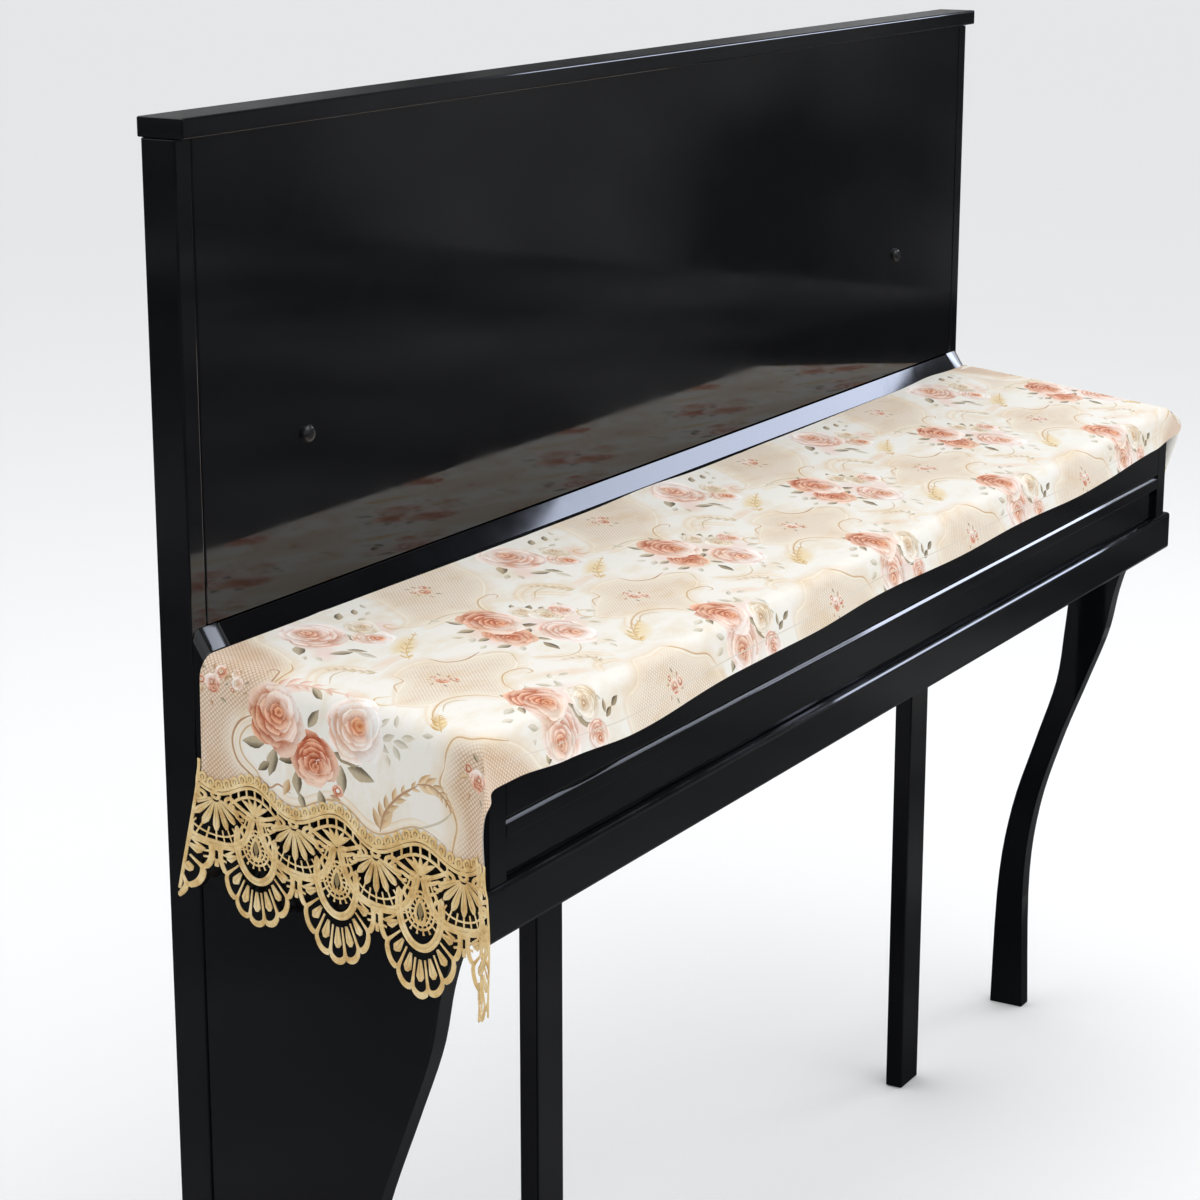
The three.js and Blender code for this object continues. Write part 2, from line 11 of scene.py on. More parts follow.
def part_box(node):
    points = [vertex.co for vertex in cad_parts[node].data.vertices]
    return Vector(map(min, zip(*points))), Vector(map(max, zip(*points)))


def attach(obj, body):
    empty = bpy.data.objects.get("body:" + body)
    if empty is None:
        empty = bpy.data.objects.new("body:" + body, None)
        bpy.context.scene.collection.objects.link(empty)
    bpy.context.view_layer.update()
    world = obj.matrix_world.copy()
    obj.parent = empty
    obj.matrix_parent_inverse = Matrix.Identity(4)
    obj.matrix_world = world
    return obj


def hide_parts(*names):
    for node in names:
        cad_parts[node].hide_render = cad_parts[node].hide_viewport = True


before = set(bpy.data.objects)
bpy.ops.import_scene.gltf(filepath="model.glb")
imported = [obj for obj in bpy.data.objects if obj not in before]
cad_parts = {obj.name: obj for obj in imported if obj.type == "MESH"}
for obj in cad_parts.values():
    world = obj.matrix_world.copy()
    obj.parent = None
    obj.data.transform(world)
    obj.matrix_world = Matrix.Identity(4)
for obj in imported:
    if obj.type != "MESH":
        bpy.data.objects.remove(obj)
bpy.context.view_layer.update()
bpy.ops.object.select_all(action="DESELECT")


# Studio. A wide pale floor, a large soft box overhead and two smaller ones. The lacquer mirrors a
# dark card instead of the floor, the slanted strip under the upper panel mirrors one box, and the
# eased edges of the boards mirror a long lamp that lights nothing matt.

# Places are counted from the lid's left front corner, at the key bed's height.
PIANO_CORNER_MM = Vector((0.0, 275.0, -640.0))
piano_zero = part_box("case_side_left")[0] - PIANO_CORNER_MM / 1000


def to_linear(hex_colour):
    shares = [int(hex_colour[i : i + 2], 16) / 255 for i in (0, 2, 4)]
    linear = [c / 12.92 if c <= 0.04045 else ((c + 0.055) / 1.055) ** 2.4 for c in shares]
    return (*linear, 1.0)


def add_node(tree, kind, links=(), **settings):
    """Adds a node. Settings name its own fields, or its input sockets by number as in_0."""
    node = tree.nodes.new(kind)
    for name, value in settings.items():
        if name.startswith("in_"):
            node.inputs[int(name[3:])].default_value = value
        else:
            setattr(node, name, value)
    for source, socket in links:
        tree.links.new(source, node.inputs[socket])
    return node


def new_material(name):
    material = bpy.data.materials.new(name)
    material.use_nodes = True
    tree = material.node_tree
    return material, tree, tree.nodes["Principled BSDF"]


FLOOR_SIZE = 80.0
bpy.ops.mesh.primitive_plane_add(size=FLOOR_SIZE, location=(0, 0, -0.0005))
floor = bpy.context.object
floor.name = "studio_floor"
# Matt white paint: a pale ground for soft shadows, kept out of the lacquer's mirror.
painted_floor, tree, shader = new_material("matt_white_studio_floor")
shader.inputs["Base Color"].default_value = to_linear("FAFAF9")
shader.inputs["Roughness"].default_value = 0.9
shader.inputs["Specular IOR Level"].default_value = 0.1
floor.data.materials.append(painted_floor)
floor.visible_glossy = False

# Two dark cards are seen in gloss alone: one lies under the piano, one stands past its treble end.
# Soft patches in the felt keep the black boards from looking empty.
black_felt, tree, shader = new_material("black_felt_card")
shader.inputs["Roughness"].default_value = 1.0
shader.inputs["Specular IOR Level"].default_value = 0.0
PATCH_M = 1.6
felt_place = add_node(tree, "ShaderNodeTexCoord")
patches = add_node(
    tree, "ShaderNodeTexNoise", [(felt_place.outputs["Object"], "Vector")],
    in_2=1 / PATCH_M, in_3=3.0, in_4=0.5,
)
felt = add_node(
    tree, "ShaderNodeMapRange", [(patches.outputs["Fac"], "Value")],
    in_1=0.4, in_2=0.72, in_3=0.05, in_4=0.42,
)
tree.links.new(felt.outputs["Result"], shader.inputs["Base Color"])
CARDS = [
    # name, size, place, turn about the y axis
    ("floor_card", 40.0, (0, 0, -0.002), 0),
    ("treble_end_card", 14.0, (6.0, 0, 5.0), -90),
]
for name, size, place, turn in CARDS:
    bpy.ops.mesh.primitive_plane_add(size=size, location=place, rotation=(0, math.radians(turn), 0))
    card = bpy.context.object
    card.name = name
    card.data.materials.append(black_felt)
    card.visible_camera = False
    card.visible_diffuse = False
    card.visible_shadow = False
    card.visible_transmission = False

SOFT_BOXES = [
    # name, place, aimed at, wide, long, watts, colour, lights matt surfaces too
    ("overhead_box", (-0.2, -0.5, 3.6), (0.0, 0.0, 0.8), 3.0, 4.0, 54, "FFFFFF", True),
    ("bass_side_box", (-3.6, -1.2, 1.9), (-0.7, -0.1, 0.7), 1.8, 1.8, 7, "F3F7FF", True),
    ("treble_end_box", (3.17, -1.26, 1.96), (0.16, 0.14, 0.8), 1.0, 0.5, 12, "DCE6FF", True),
    ("long_edge_lamp", (2.86, -0.86, 2.05), (2.86, -0.15, 0.7), 3.1, 0.25, 12, "E6EEFF", False),
]
for name, place, aim, wide, long, watts, colour, on_matt in SOFT_BOXES:
    data = bpy.data.lights.new(name, "AREA")
    data.shape = "RECTANGLE"
    data.size = wide
    data.size_y = long
    data.energy = watts
    data.color = to_linear(colour)[:3]
    lamp = bpy.data.objects.new(name, data)
    lamp.location = place
    lamp.rotation_mode = "QUATERNION"
    lamp.rotation_quaternion = (Vector(aim) - Vector(place)).to_track_quat("-Z", "Y")
    lamp.visible_camera = False
    lamp.visible_diffuse = on_matt
    bpy.context.collection.objects.link(lamp)

# The sky is bright overhead and dimmer low on the bass side, so the drop there lies in soft shade.
sky = bpy.data.worlds.new("graded_studio_light")
bpy.context.scene.world = sky
sky.use_nodes = True
sky_light = sky.node_tree.nodes["Background"]
sky_light.inputs["Color"].default_value = to_linear("F8F9FB")
DIMMER_WAY = (-0.8, -0.4, -0.45)
sky_way = add_node(sky.node_tree, "ShaderNodeTexCoord")
towards_dim = add_node(
    sky.node_tree, "ShaderNodeVectorMath", [(sky_way.outputs["Generated"], 0)],
    operation="DOT_PRODUCT", in_1=DIMMER_WAY,
)
graded = add_node(
    sky.node_tree, "ShaderNodeMapRange", [(towards_dim.outputs["Value"], "Value")],
    interpolation_type="SMOOTHSTEP", in_1=-0.5, in_2=0.7, in_3=1.05, in_4=0.3,
)
sky.node_tree.links.new(graded.outputs["Result"], sky_light.inputs["Strength"])

# The camera stands off the bass end, turned 30.4 degrees from the keyboard's line and looking down.
CAMERA_AT = Vector((-1.819, -1.170, 0.802))
CAMERA_LOOKS = Vector((0.8341, 0.4894, -0.2546))
camera_data = bpy.data.cameras.new("view_of_the_photograph")
camera_data.sensor_width = 36.0
camera_data.lens = 89.66
camera_data.clip_end = 200.0
camera = bpy.data.objects.new("view_of_the_photograph", camera_data)
camera.location = piano_zero + CAMERA_AT
camera.rotation_mode = "QUATERNION"
camera.rotation_quaternion = CAMERA_LOOKS.to_track_quat("-Z", "Y")
bpy.context.collection.objects.link(camera)
bpy.context.scene.camera = camera
bpy.context.scene.view_settings.view_transform = "Standard"


# Piano. Boards of a plain upright, sprayed black, flatted and polished to a mirror. The maker
# eases every edge a little, and that easing carries the thin bright lines along the boards.

# Polished polyester lacquer: almost no colour of its own, a clear mirror with faint wiping marks.
lacquer, tree, shader = new_material("polished_black_lacquer")
shader.inputs["Base Color"].default_value = to_linear("0B0C0F")
shader.inputs["IOR"].default_value = 1.5
lacquer_place = add_node(tree, "ShaderNodeTexCoord")
WIPE_MM = 60.0
wiping = add_node(
    tree, "ShaderNodeTexNoise", [(lacquer_place.outputs["Object"], "Vector")],
    in_2=1000 / WIPE_MM, in_3=4.0, in_4=0.6,
)
gloss = add_node(
    tree, "ShaderNodeMapRange", [(wiping.outputs["Fac"], "Value")],
    in_1=0.3, in_2=0.75, in_3=0.03, in_4=0.09,
)
tree.links.new(gloss.outputs["Result"], shader.inputs["Roughness"])
EASED_EDGE, EASED_BED = 0.0016, 0.004
PIANO_NODES = [
    "case_side_left", "case_side_right", "upper_panel", "back_panel", "top_board", "key_bed", "key_slip",
    "cheek_left", "cheek_right", "lid", "fall_strip", "leg_left", "leg_right", "wing_left",
    "inner_leg_left", "inner_leg_right",
]
for node_name in PIANO_NODES:
    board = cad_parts[node_name]
    board.data.materials.clear()
    board.data.materials.append(lacquer)
    weld = board.modifiers.new("joined_faces", "WELD")
    weld.merge_threshold = 0.00002
    ease = board.modifiers.new("eased_edges", "BEVEL")
    ease.width = EASED_BED if node_name == "key_bed" else EASED_EDGE
    ease.segments = 3
    ease.limit_method = "ANGLE"
    ease.angle_limit = math.radians(35)


# Lid buffers. Two domed buttons of moulded black rubber, screwed to the upper panel, that the lid
# leans on when it is open.
BUFFER_ACROSS, BUFFER_DEEP, BUFFER_ROUND = 0.015, 0.005, 0.0036
BUFFERS = [
    # name, along the lid and up from the key bed in millimetres
    ("lid_buffer_left", 162.0, 303.0),
    ("lid_buffer_right", 1316.0, 309.0),
]
# Moulded rubber: black and half glossy, with a soft highlight on the dome.
rubber, tree, shader = new_material("black_moulded_rubber")
shader.inputs["Base Color"].default_value = to_linear("1B1B1D")
shader.inputs["Roughness"].default_value = 0.24
panel_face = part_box("upper_panel")[0].y
for name, along, up in BUFFERS:
    bpy.ops.mesh.primitive_cylinder_add(
        vertices=28, radius=BUFFER_ACROSS / 2, depth=BUFFER_DEEP, rotation=(math.radians(90), 0, 0),
        location=(piano_zero.x + along / 1000, panel_face - BUFFER_DEEP / 2, piano_zero.z + up / 1000),
    )
    buffer = bpy.context.object
    buffer.name = name
    bpy.ops.object.transform_apply(location=True, rotation=True, scale=True)
    bpy.ops.object.mode_set(mode="EDIT")
    bpy.ops.mesh.select_mode(type="EDGE")
    bpy.ops.mesh.select_all(action="DESELECT")
    button = bmesh.from_edit_mesh(buffer.data)
    for edge in button.edges:
        edge.select_set(all(corner.co.y < panel_face - BUFFER_DEEP / 2 for corner in edge.verts))
    bmesh.update_edit_mesh(buffer.data)
    bpy.ops.mesh.bevel(offset=BUFFER_ROUND, segments=5)
    bpy.ops.object.mode_set(mode="OBJECT")
    bpy.ops.object.shade_smooth_by_angle(angle=math.radians(40))
    bpy.ops.object.select_all(action="DESELECT")
    buffer.data.materials.append(rubber)
    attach(buffer, "root")


# How the cover lies. Flat millimetres: s runs along the lid from its left end, t from its front
# edge to the back, and both go on down the drops. The cloth bends over three edges and hangs, and
# at each front corner the spare quarter stands out as a soft ear.
LENGTH = 1500.0
LID_FRONT_Z = 124.0
LID_SLOPE = 28.0 / 256.0
CLOTH_LIFT = 1.3
FRONT_START, FRONT_BEND, FRONT_LEAN = 8.0, 12.0, 15.0
END_START, END_BEND, END_LEAN = 6.0, 18.0, 0.02
FRONT_HANGS, END_HANGS = -14.0, -26.0
SWAY_OVER, SWAY_MOST = 120.0, 1.2
EAR_SPREAD = 8.0
EAR_LIFT = (30.0, 110.0)
# left end, right end
SWAY_FROM = (98.0, 15.0)
SHORTER = (0.0, 22.0)
CORNERS = {
    "azimuth": (209.0, 186.0),
    "deeper": (18.0, -75.0),
    "from": (30.0, 35.0),
    "to": (170.0, 130.0),
    "fold_turn": (45.0, 38.0),
    "ridge": (9.0, 6.0),
    "lift": (0.0, 0.5),
}
# t, outward, forward
SWAY_LEFT = [
    (-70, 13, 9), (5, 20, 13), (50, 23, 14), (128, 15, 10), (206, 1, 0), (240, 0, 0), (270, 4, -14),
]
SWAY_RIGHT = [(-70, 9, -24), (50, 12, -22), (128, 10, -4), (206, 5, 0), (270, 6, -8)]
# s, t, reach along s, reach along t, rise
SWELLS = [
    (218, -48, 95, 36, 5), (548, -46, 80, 32, 4), (846, -44, 110, 36, 6), (1165, -44, 90, 32, 5),
    (700, 262, 70, 26, 3), (1385, 232, 46, 34, 5),
    (-80, 172, 60, 26, 5), (-110, 88, 70, 24, 4), (1590, 150, 70, 28, 5),
]
# s, t
FRONT_HEM = [
    (-95, -48), (-36, -38), (28, -38), (101, -43), (195, -47), (394, -43), (738, -38), (980, -39),
    (1261, -40), (1423, -35), (1487, -30), (1520, -29),
]
BACK_EDGE = [(-20, 259), (135, 258), (491, 255), (760, 254), (991, 257), (1254, 260), (1520, 261)]
# t, drop of the lace's crests below the lid's end
HEADING_LINE = [(-45, 91), (45, 97.6), (262, 96.4)]
REPEAT = 78.5
FIRST_CREST = 206.0
HEADING_WAVE = 7.0


def smooth(start, stop, value):
    share = np.clip((value - start) / (stop - start), 0, 1)
    return share * share * (3 - 2 * share)


def read_table(rows, at, column):
    value = np.full(np.shape(at), float(rows[0][column]))
    for a, b in zip(rows[:-1], rows[1:]):
        eased = a[column] + (b[column] - a[column]) * smooth(a[0], b[0], at)
        value = np.where(at > a[0], eased, value)
    return value


def front_hem(s):
    return read_table(FRONT_HEM, np.asarray(s, float), 1)


def back_edge(s):
    return read_table(BACK_EDGE, np.asarray(s, float), 1)


def crest_drop(t):
    return read_table(HEADING_LINE, t, 1)


def heading_wave(t):
    return HEADING_WAVE * (1 - np.cos(2 * np.pi * (t - FIRST_CREST) / REPEAT))


def hung_s(drop, is_left):
    """Flat place of a point that hangs so far below the lid's end."""
    return SHORTER[0] - drop if is_left else LENGTH - SHORTER[1] + drop


def drape(s, t):
    """Where points of the flat cover lie on the piano, in metres in the shared frame."""
    is_left = s < LENGTH / 2
    u = np.where(is_left, s, LENGTH - s)
    azimuth, deeper, turn_from, turn_to, fold_turn, ridge_round, lift = (
        np.where(is_left, *CORNERS[key]) for key in CORNERS
    )
    over_end = np.maximum(0, END_START - u)
    over_front = np.maximum(0, FRONT_START - t)
    reach = np.hypot(over_end, over_front)
    angle = np.where(reach > 0, np.arctan2(over_front, over_end), 0)
    towards_end, towards_front = np.cos(angle) ** 2, np.sin(angle) ** 2
    degrees = np.degrees(angle)
    ridge = np.hypot(degrees - 45, ridge_round)
    lifted = 1 + lift * (1 - smooth(*EAR_LIFT, reach))
    stand = np.radians(np.hypot(45, ridge_round) - ridge) * lifted
    bend = END_BEND * towards_end + FRONT_BEND * towards_front
    lean = np.radians(FRONT_LEAN) * towards_front
    full_turn = np.pi / 2 - stand - lean
    turned = np.minimum(reach / bend, full_turn)
    hang = np.maximum(0, reach - bend * full_turn)
    fallen = hang * np.cos(stand)
    azimuth = azimuth + EAR_SPREAD * (degrees - 45) / ridge + deeper * smooth(turn_from, turn_to, reach)
    azimuth = azimuth + (270 - azimuth) * towards_end * (1 - smooth(0, fold_turn, over_front))
    azimuth = azimuth + (180 - azimuth) * towards_front * (1 - smooth(0, fold_turn, over_end))
    outward = hang * np.sin(stand)
    low = np.clip((over_end - np.where(is_left, *SWAY_FROM)) / SWAY_OVER, 0, SWAY_MOST)
    sway_out = np.where(is_left, read_table(SWAY_LEFT, t, 1), read_table(SWAY_RIGHT, t, 1)) * low
    sway_fore = np.where(is_left, read_table(SWAY_LEFT, t, 2), read_table(SWAY_RIGHT, t, 2)) * low
    sway_out = sway_out + END_LEAN * hang * towards_end
    sway_fore = sway_fore + fallen * np.sin(lean)
    swell = sum(h * np.exp(-(((s - a) / c) ** 2) - ((t - b) / d) ** 2) for a, b, c, d, h in SWELLS)
    on_front, on_end = smooth(FRONT_START, FRONT_HANGS, t), smooth(END_START, END_HANGS, u)
    on_top = (1 - on_front) * (1 - on_end)
    bend_out = bend * np.sin(turned)
    x = np.maximum(u, END_START) - bend_out * np.cos(angle) + outward * np.cos(np.radians(azimuth))
    x = x - sway_out - swell * on_end
    y = np.maximum(t, FRONT_START) - bend_out * np.sin(angle) + outward * np.sin(np.radians(azimuth))
    y = y - sway_fore - swell * on_front * (1 - on_end)
    z = LID_FRONT_Z + LID_SLOPE * np.maximum(t, 0) + CLOTH_LIFT
    z = z - bend * (1 - np.cos(turned)) - fallen * np.cos(lean) + swell * on_top
    millimetres = np.stack([np.where(is_left, x, LENGTH - x), y, z], -1)
    return millimetres / 1000 + np.array(piano_zero)


# Soft creases that storage and handling leave in the cotton: two ends in s and t, half-width, rise
CREASES = [
    ((150, 262), (176, 120), 9, 0.5),
    ((470, 250), (450, 60), 10, -0.5),
    ((640, 10), (700, 200), 12, 0.5),
    ((905, 255), (930, 20), 10, -0.5),
    ((1200, 15), (1170, 210), 12, 0.6),
    ((-20, 60), (-86, 44), 10, 1.0),
    ((-14, 168), (-84, 190), 9, -0.9),
    ((-12, 225), (-90, 232), 10, 0.9),
]
# A crease fades out past its ends and is full some way inside them.
CREASE_FADE, CREASE_FULL = 30.0, 20.0


def crease_rise(s, t):
    rise = np.zeros(np.shape(s))
    for (s0, t0), (s1, t1), wide, height in CREASES:
        run = np.array([s1 - s0, t1 - t0], float)
        long = np.hypot(*run)
        along = ((s - s0) * run[0] + (t - t0) * run[1]) / long
        across = ((t - t0) * run[0] - (s - s0) * run[1]) / long
        fade_in = smooth(-CREASE_FADE, CREASE_FULL, along)
        fade_out = 1 - smooth(long - CREASE_FULL, long + CREASE_FADE, along)
        rise = rise + height * fade_in * fade_out * np.exp(-((across / wide) ** 2))
    return rise


NORMAL_STEP = 0.5


def normals_of(surface, s, t):
    """Which way the cloth faces, measured over a small step of a function that lays it."""
    along_s = surface(s + NORMAL_STEP, t) - surface(s - NORMAL_STEP, t)
    along_t = surface(s, t + NORMAL_STEP) - surface(s, t - NORMAL_STEP)
    normal = np.cross(along_s, along_t)
    return normal / np.linalg.norm(normal, axis=-1, keepdims=True)


# Print. Ordinary garden roses with grey leaves in white panels, between tan panels with a fine
# trellis and scrolled borders. The screens lay one colour over another, so later shapes cover
# earlier ones. Each shape is an outline in s and t with its own coordinates for the shading.
PRINT_REPEAT = 307.0
# How the share of lighter ink grows along a shape, away from its middle line and with the trellis, and
# the share that it starts from
PETAL = (1.3, -0.5, 0.0, 0.22)
LEAF = (0.7, -0.5, 0.0, 0.36)
STROKE = (0.0, 0.6, 0.0, 0.15)
CLOUD = (0.0, -1.0, 0.0, 1.15)
WASH = (0.0, -1.0, 0.0, 0.95)
TRELLIS = (0.0, 0.0, 0.8, 0.15)
SMUDGE = (1.3, 0.0, 0.0, -0.1)
printed_shapes = []
draw = random.Random(7)


def print_shape(outline, kind, paint):
    """Lays a shape over the earlier ones. Its paint gives across, along and two inks at any points."""
    outline = np.asarray(outline, float)
    x, y = outline.T
    area = np.sum(x * np.roll(y, -1) - np.roll(x, -1) * y)
    printed_shapes.append((outline if area > 0 else outline[::-1], kind, paint))


def ink(hex_colour, tone=1.0):
    return np.minimum(1.0, np.array(to_linear(hex_colour)[:3]) * tone)


def step_to(bearing):
    """One millimetre in a direction given in radians."""
    return np.array([math.cos(bearing), math.sin(bearing)])


# petals, outer and inner share of the radius, half-angle of a petal
ROSE_RINGS = [
    (6, 1.0, 0.6, 42), (6, 0.86, 0.5, 40), (5, 0.72, 0.4, 46), (5, 0.58, 0.3, 46), (4, 0.44, 0.19, 54),
    (3, 0.3, 0.08, 70), (2, 0.17, 0.0, 110),
]
RING_TURN, PETAL_STRAY = 40, 14
ROSE_LEAN, LIT_LONGER, RIM_FALL, NEXT_RING_HIDES = 0.36, 0.14, 0.26, 0.92
HEART_FROM, HEART_TO = 0.64, 0.2
SMALLEST_RING, LARGE_PETAL = 3.4, 11.0
# places along a petal's rim and foot, from one side to the other
LARGE_RIM = [-1.0, -0.8, -0.45, -0.12, 0.2, 0.52, 0.82, 1.0]
SMALL_RIM = [-1.0, -0.6, -0.1, 0.4, 0.8, 1.0]
PETAL_FOOT = [0.7, -0.7]
# deep and light ink of the petals on the shaded side, on the lit side and in the heart
ROSE_INKS = {
    "coral": (("BC6442", "F3C2A4"), ("E2AC8E", "FDF2EA"), ("B2552F", "EEB08A")),
    "dark_coral": (("B65634", "EEB090"), ("CE8260", "F8D8C2"), ("A84C2A", "E7A480")),
    "pale": (("DAA086", "FAE6DA"), ("E8C8B6", "FFF8F3"), ("C67048", "F5CCB0")),
    "peach_heart": (("E0B297", "FCEFE6"), ("EAD6C8", "FFFCF8"), ("CA6430", "F5B88C")),
    "beige": (("D6BE9C", "F2E8D6"), ("E4D4BA", "FAF4EA"), ("C8A276", "ECD6B8")),
}


def print_petal(rim, middle, heading, half, hidden, reach, inks):
    def paint(points):
        away = points - middle
        bearing = (np.arctan2(away[:, 1], away[:, 0]) - heading + np.pi) % (2 * np.pi) - np.pi
        return bearing / half, (np.hypot(*away.T) - hidden) / (reach - hidden), *inks

    print_shape(rim, PETAL, paint)


def print_rose(s, t, across, kind, turn):
    """A full rose. Its heart leans to the turn's side, where the petals are lit and longer."""
    radius, lit_side = across / 2, math.radians(turn)
    shaded_inks, lit_inks, heart_inks = [[ink(colour) for colour in pair] for pair in ROSE_INKS[kind]]
    for ring, (count, outer, inner, half_angle) in enumerate(ROSE_RINGS):
        if ring > 0 and outer * radius < SMALLEST_RING:
            break
        middle = np.array([s, t]) + (1 - outer) * ROSE_LEAN * radius * step_to(lit_side)
        heart = smooth(HEART_FROM, HEART_TO, outer)
        next_outer = ROSE_RINGS[ring + 1][1] if ring + 1 < len(ROSE_RINGS) else 0.0
        rim_places = LARGE_RIM if outer * radius > LARGE_PETAL else SMALL_RIM
        for petal in range(count):
            stray = draw.uniform(-PETAL_STRAY, PETAL_STRAY)
            heading = math.radians(turn + RING_TURN * ring + 360 * petal / count + stray)
            lit = 0.5 + 0.5 * math.cos(heading - lit_side)
            half = math.radians(half_angle * draw.uniform(0.88, 1.22))
            reach = outer * radius * draw.uniform(0.88, 1.07) * (1 + LIT_LONGER * lit * (1 - heart))
            rim = []
            for place in rim_places:
                ruffle = 1 - RIM_FALL * abs(place) ** 2.6 + draw.uniform(-0.06, 0.05)
                rim.append(middle + reach * ruffle * step_to(heading + place * half))
            for place in PETAL_FOOT:
                rim.append(middle + inner * radius * step_to(heading + place * half))
            tone = draw.uniform(0.86, 1.06)
            outer_inks = [a + (b - a) * lit for a, b in zip(shaded_inks, lit_inks)]
            inks = [(a + (b - a) * heart) * tone for a, b in zip(outer_inks, heart_inks)]
            print_petal(rim, middle, heading, half, NEXT_RING_HIDES * next_outer * radius, reach, inks)


LEAF_EDGE = [(0.0, 0.0), (0.12, 0.42), (0.3, 0.86), (0.48, 1.0), (0.68, 0.78), (0.86, 0.36), (1.0, 0.0)]
# deep and light ink
INKS = {
    "grey": ("70644F", "CFC0A4"),
    "dark": ("5E5340", "B2A285"),
    "faint": ("C3BBA6", "E6DFD0"),
    "wisp": ("C4AD88", "EBDEC6"),
    "ochre": ("C29A6C", "EBD6B4"),
    "gold": ("CDA564", "F1E0BA"),
    "brown": ("A88060", "D8B896"),
    "blush": ("DDAF97", "F6E4D9"),
    "cloud": ("E7D6BA", "F4EBDC"),
    "wash": ("F2EEE6", "EBDDC8"),
    "stitch": ("D6CBBB", "ECE5D9"),
}


def print_leaf(s, t, long, turn, kind, wide=0.44):
    direction = step_to(math.radians(turn))
    side = np.array([-direction[1], direction[0]])
    half_wide = long * wide / 2
    base = np.array([s, t]) - direction * long / 2
    edges = [
        [
            base + direction * long * along + sign * side * half_wide * out * draw.uniform(0.88, 1.08)
            for along, out in LEAF_EDGE
        ]
        for sign in (1, -1)
    ]
    tone = draw.uniform(0.92, 1.08)
    deep, light = (ink(colour, tone) for colour in INKS[kind])

    def paint(points):
        across = (points - base) @ side / half_wide
        return across, 0.5 - across, deep, light

    print_shape(edges[0] + edges[1][-2:0:-1], LEAF, paint)


def curve_through(points, per_span=5):
    """A smooth line through points: a Catmull-Rom spline."""
    points = np.asarray(points, float)
    padded = np.vstack([2 * points[0] - points[1], points, 2 * points[-1] - points[-2]])
    line = []
    for a, b, c, d in zip(padded[:-3], padded[1:-2], padded[2:-1], padded[3:]):
        for k in np.arange(per_span) / per_span:
            at = 2 * b + (c - a) * k
            at = at + (2 * a - 5 * b + 4 * c - d) * k * k
            at = at + (3 * b - a - 3 * c + d) * k ** 3
            line.append(0.5 * at)
    return np.array(line + [points[-1]])


def sides_of(line):
    """Steps of one millimetre square to a line, to its left."""
    run = np.gradient(line, axis=0)
    run /= np.maximum(np.linalg.norm(run, axis=1, keepdims=True), 1e-9)
    return np.stack([-run[:, 1], run[:, 0]], 1)


def print_stroke(points, wide, kind, shading=STROKE, per_span=5):
    """A brush stroke that thins to both ends."""
    line = curve_through(points, per_span)
    side = sides_of(line)
    share = np.linspace(0, 1, len(line))
    half = wide / 2 * np.clip(np.minimum(share, 1 - share) * 5, 0.16, 1) ** 0.7
    outline = np.vstack([line + side * half[:, None], (line - side * half[:, None])[::-1]])
    deep, light = (ink(colour) for colour in INKS[kind])

    def paint(points):
        away = points[:, None, :] - line[None]
        nearest = np.argmin((away ** 2).sum(-1), 1)
        picked = away[np.arange(len(points)), nearest]
        return (picked * side[nearest]).sum(1) / (wide / 2), share[nearest], deep, light

    print_shape(outline, shading, paint)


SMUDGE_EDGE = ink("F1EDE4")
SMUDGE_SIDES = 12


def print_smudge(s, t, long, wide, turn, hex_colour):
    """A soft cloud of colour that fades into the ground."""
    a = math.radians(turn)
    axes = np.array([[math.cos(a), math.sin(a)], [-math.sin(a), math.cos(a)]]) / [[long / 2], [wide / 2]]
    rounds = np.linspace(0, 2 * np.pi, SMUDGE_SIDES, endpoint=False)
    outline = np.array([s, t]) + np.stack([np.cos(rounds), np.sin(rounds)], 1) @ np.linalg.inv(axes).T
    cloud = ink(hex_colour)

    def paint(points):
        away = (points - np.array([s, t])) @ axes.T
        return away[:, 1], 1 - (away ** 2).sum(1), SMUDGE_EDGE, cloud

    print_shape(outline, SMUDGE, paint)


FEATHER_LOBES, LOBE_SPREAD, LOBE_REACH, LOBE_WIDE, STEM_WIDE = 6, 32, 0.42, 0.36, 0.16


def print_feather(points, wide, kind):
    """An acanthus feather: a curved stem with paired lobes that shorten to its tip."""
    line = curve_through(points, 6)
    bearings = np.degrees(np.arctan2(*np.gradient(line, axis=0).T[::-1]))
    for lobe in range(FEATHER_LOBES):
        share = (lobe + 0.6) / FEATHER_LOBES
        i = int(share * (len(line) - 1))
        long = wide * (1.5 - 0.95 * share) * draw.uniform(0.85, 1.1)
        for spread in (-LOBE_SPREAD, LOBE_SPREAD):
            turn = bearings[i] + spread * draw.uniform(0.8, 1.25)
            middle = line[i] + LOBE_REACH * long * step_to(math.radians(turn))
            print_leaf(*middle, long, turn, kind, LOBE_WIDE)
    print_stroke(points, wide * STEM_WIDE, "brown" if kind == "ochre" else kind)


# A tan panel fades to cream at its edge, with a soft wash round it and a scrolled border.
PANEL_FADE, WASH_WIDE, BORDER_WIDE = 14.0, 26.0, 5.0
CREAM = ink("EFE4D2")
# tan between the trellis lines, and the lines, on the lid and on the drops; the drops' pair is the same tan
# darkened with painted shade
LID_TAN, DROP_TAN_IN_PAINTED_SHADE = (ink("F3EADC"), ink("D5BEA3")), (ink("ECDAC6"), ink("C2A082"))


def print_panel(outline, inks):
    closed = curve_through(list(outline) + [outline[0]], 4)

    def paint(points):
        distance = np.sqrt(((points[:, None] - closed[None]) ** 2).sum(-1).min(1))
        inner = np.clip(distance / PANEL_FADE, 0, 1)[:, None]
        nothing = np.zeros(len(points))
        return nothing, nothing, CREAM + (inks[1] - CREAM) * inner, CREAM + (inks[0] - CREAM) * inner

    print_shape(closed[:-1], TRELLIS, paint)


